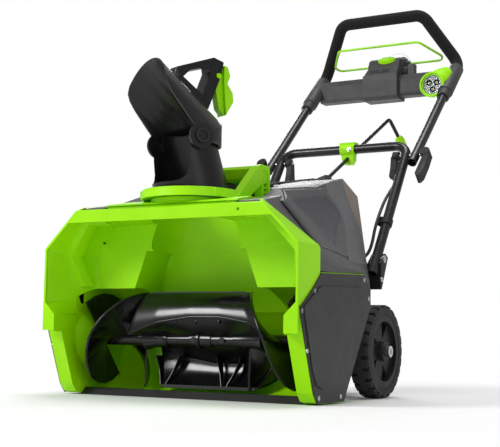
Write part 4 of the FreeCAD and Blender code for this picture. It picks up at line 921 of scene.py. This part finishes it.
def blade_point(part, s, level, half):
    """Point on a blade's sheet; level 0 is at the hub, 1 at the ridge and 2 at the tip."""
    root, ridge, tip = BLADE_ENDS[part]
    high = along_line(RIDGE, s)
    if level <= 1:
        low, top, k = root, ridge, level
        y, z = ROOT_Y + (RIDGE_Y - ROOT_Y) * k, ROOT_Z + (high - ROOT_Z) * k
    else:
        low, top, k = ridge, tip, level - 1
        bend_z = high + BEND_SHARE * (TIP_Z - high)
        y = RIDGE_Y * (1 - k) ** 2 + 2 * BEND_Y * k * (1 - k) + TIP_Y * k * k
        z = high * (1 - k) ** 2 + 2 * bend_z * k * (1 - k) + TIP_Z * k * k
    left, right = low[0] + (top[0] - low[0]) * k, low[1] + (top[1] - low[1]) * k
    return on_auger(half, left + (right - left) * s, y, z)


def make_blades():
    """Two glossy scoops, each creased along an arched ridge, with ribs in the hollow side."""
    for half, part in enumerate(("upper", "lower")):
        columns, under, over = 72, 8, 26
        levels = [k / under for k in range(under)] + [1 + k / over for k in range(over + 1)]
        bm = bmesh.new()
        add_strips(bm, [[blade_point(part, k / columns, level, half) for k in range(columns + 1)]
                        for level in levels])
        blade = finish_piece(f"auger_blade_{part}", bm, "auger", "auger")
        thicken(blade, BLADE_THICK)
        edge = blade.modifiers.new("edge", "BEVEL")
        edge.width, edge.segments, edge.limit_method = 0.0008, 2, "ANGLE"
        if half == 0:
            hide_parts("auger_paddles")
        make_blade_edge(part, half)
        ridge = [blade_point(part, k / 24, 1, half) for k in range(25)]
        tube_piece(f"blade_ridge_{part}", ridge, RIDGE_R, "auger", "auger")
        make_blade_ribs(part, half)


def make_blade_edge(part, half):
    """Rubber strip along a blade's tip, which wears in place of the blade."""
    left, right = BLADE_ENDS[part][2]
    bm = bmesh.new()
    rings = []
    for k in range(25):
        s = k / 24
        x = left + STRIP_INSET + (right - left - 2 * STRIP_INSET) * s
        top = STRIP_BASE + STRIP_RISE * (1 - 0.35 * max(abs(2 * s - 1) - 0.9, 0) / 0.1)
        section = ((-3.4, STRIP_FOOT), (-0.4, STRIP_FOOT), (0.4, top), (-2.6, top))
        rings.append([on_auger(half, x, y, z) for y, z in section])
    add_rings(bm, rings)
    edge = finish_piece(f"blade_edge_{part}", bm, "rubber", "auger", 0.0006)
    if half == 0:
        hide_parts("paddle_edges")


def make_blade_ribs(part, half):
    """Pairs of thin ribs that close in towards the tip, in the hollow side of a blade."""
    bm = bmesh.new()
    for middle in RIB_X[part]:
        for lean in (-1, 1):
            rings = []
            for k in range(13):
                t = k / 12
                x = middle + lean * (RIB_WIDE + (RIB_NARROW - RIB_WIDE) * t)
                z = RIB_LOW + (RIB_HIGH - RIB_LOW) * t
                depth = RIB_DEPTH * (1 - t) ** 0.8 + RIB_TIP_DEPTH
                front = RIB_FOOT_Y + (RIB_TIP_Y - RIB_FOOT_Y) * t ** 1.6
                section = ((-1.1, 0), (1.1, 0), (0.8, depth), (-0.8, depth))
                rings.append([on_auger(half, x + dx, front + dy, z) for dx, dy in section])
            add_rings(bm, rings)
    finish_piece(f"blade_ribs_{part}", bm, "auger", "auger", 0.0005)


def make_auger_hub():
    """Stepped hub along the shaft, tapering into the blades' ends."""
    bm = bmesh.new()
    profile = [(-0.112, 0.0085), (-0.111, 0.02), (-0.09, 0.0155), (-0.062, 0.0128), (-0.0615, 0.0102),
               (-0.012, 0.0102), (-0.0115, 0.0125), (0.006, 0.0128), (0.0065, 0.0165), (0.0105, 0.0165),
               (0.011, 0.0128), (0.034, 0.0125), (0.0345, 0.0102), (0.082, 0.0102), (0.0825, 0.0122),
               (0.126, 0.0145), (0.142, 0.02), (0.1425, 0.0085)]
    lathe(bm, (0, 0, AUGER_Z), (1, 0, 0), profile, 44)
    finish_piece("auger_hub", bm, "auger", "auger", 0.0004)


# ---- deflector trigger --------------------------------------------------------------------------
CHUTE_TURN = math.radians(-26)        # the chute's turn at rest
TRIGGER_Y, TRIGGER_Z = 12, 600        # the trigger's pivot before that turn
TRIGGER_HALF = 13.5
# the lobe's outer line from the pivot
LOBE = [(24, -14), (34.5, -28), (36.5, -44), (28, -58.5)]


def turned(point):
    return Matrix.Rotation(CHUTE_TURN, 3, "Z") @ (point - CHUTE_AT) + CHUTE_AT


def make_trigger_ribs():
    """Grip ribs across the trigger's lower lobe."""
    line = [(TRIGGER_Y + y, TRIGGER_Z + z) for y, z in LOBE]
    bm = bmesh.new()
    spots = []
    for (y0, z0), (y1, z1) in zip(line, line[1:]):
        spots += [(y0 + (y1 - y0) * f, z0 + (z1 - z0) * f) for f in (0.15, 0.5, 0.85)]
    for y, z in spots:
        start, end = turned(mm(-TRIGGER_HALF, y, z)), turned(mm(TRIGGER_HALF, y, z))
        lathe(bm, start, end - start, [(0, 0.0006), (0.0006, 0.0015), (0.0264, 0.0015), (0.027, 0.0006)], 12)
    finish_piece("trigger_ribs", bm, "green", "deflector_trigger")


make_camera()
make_stage()
MATERIALS = make_materials()
dress_cad_nodes(MATERIALS)
make_cable()
make_cable_clip()
make_reflector()
make_key_loop()
make_console_wedge()
make_start_cap()
make_joint_boot()
make_tray_details()
make_bracket_screw()
make_leg_screws()
for make_side in (make_cover_relief, make_housing_seam, make_apron):
    make_side(1)
    make_side(-1)
make_gear_guard()
make_flight_rims()
make_blades()
make_auger_hub()
make_trigger_ribs()
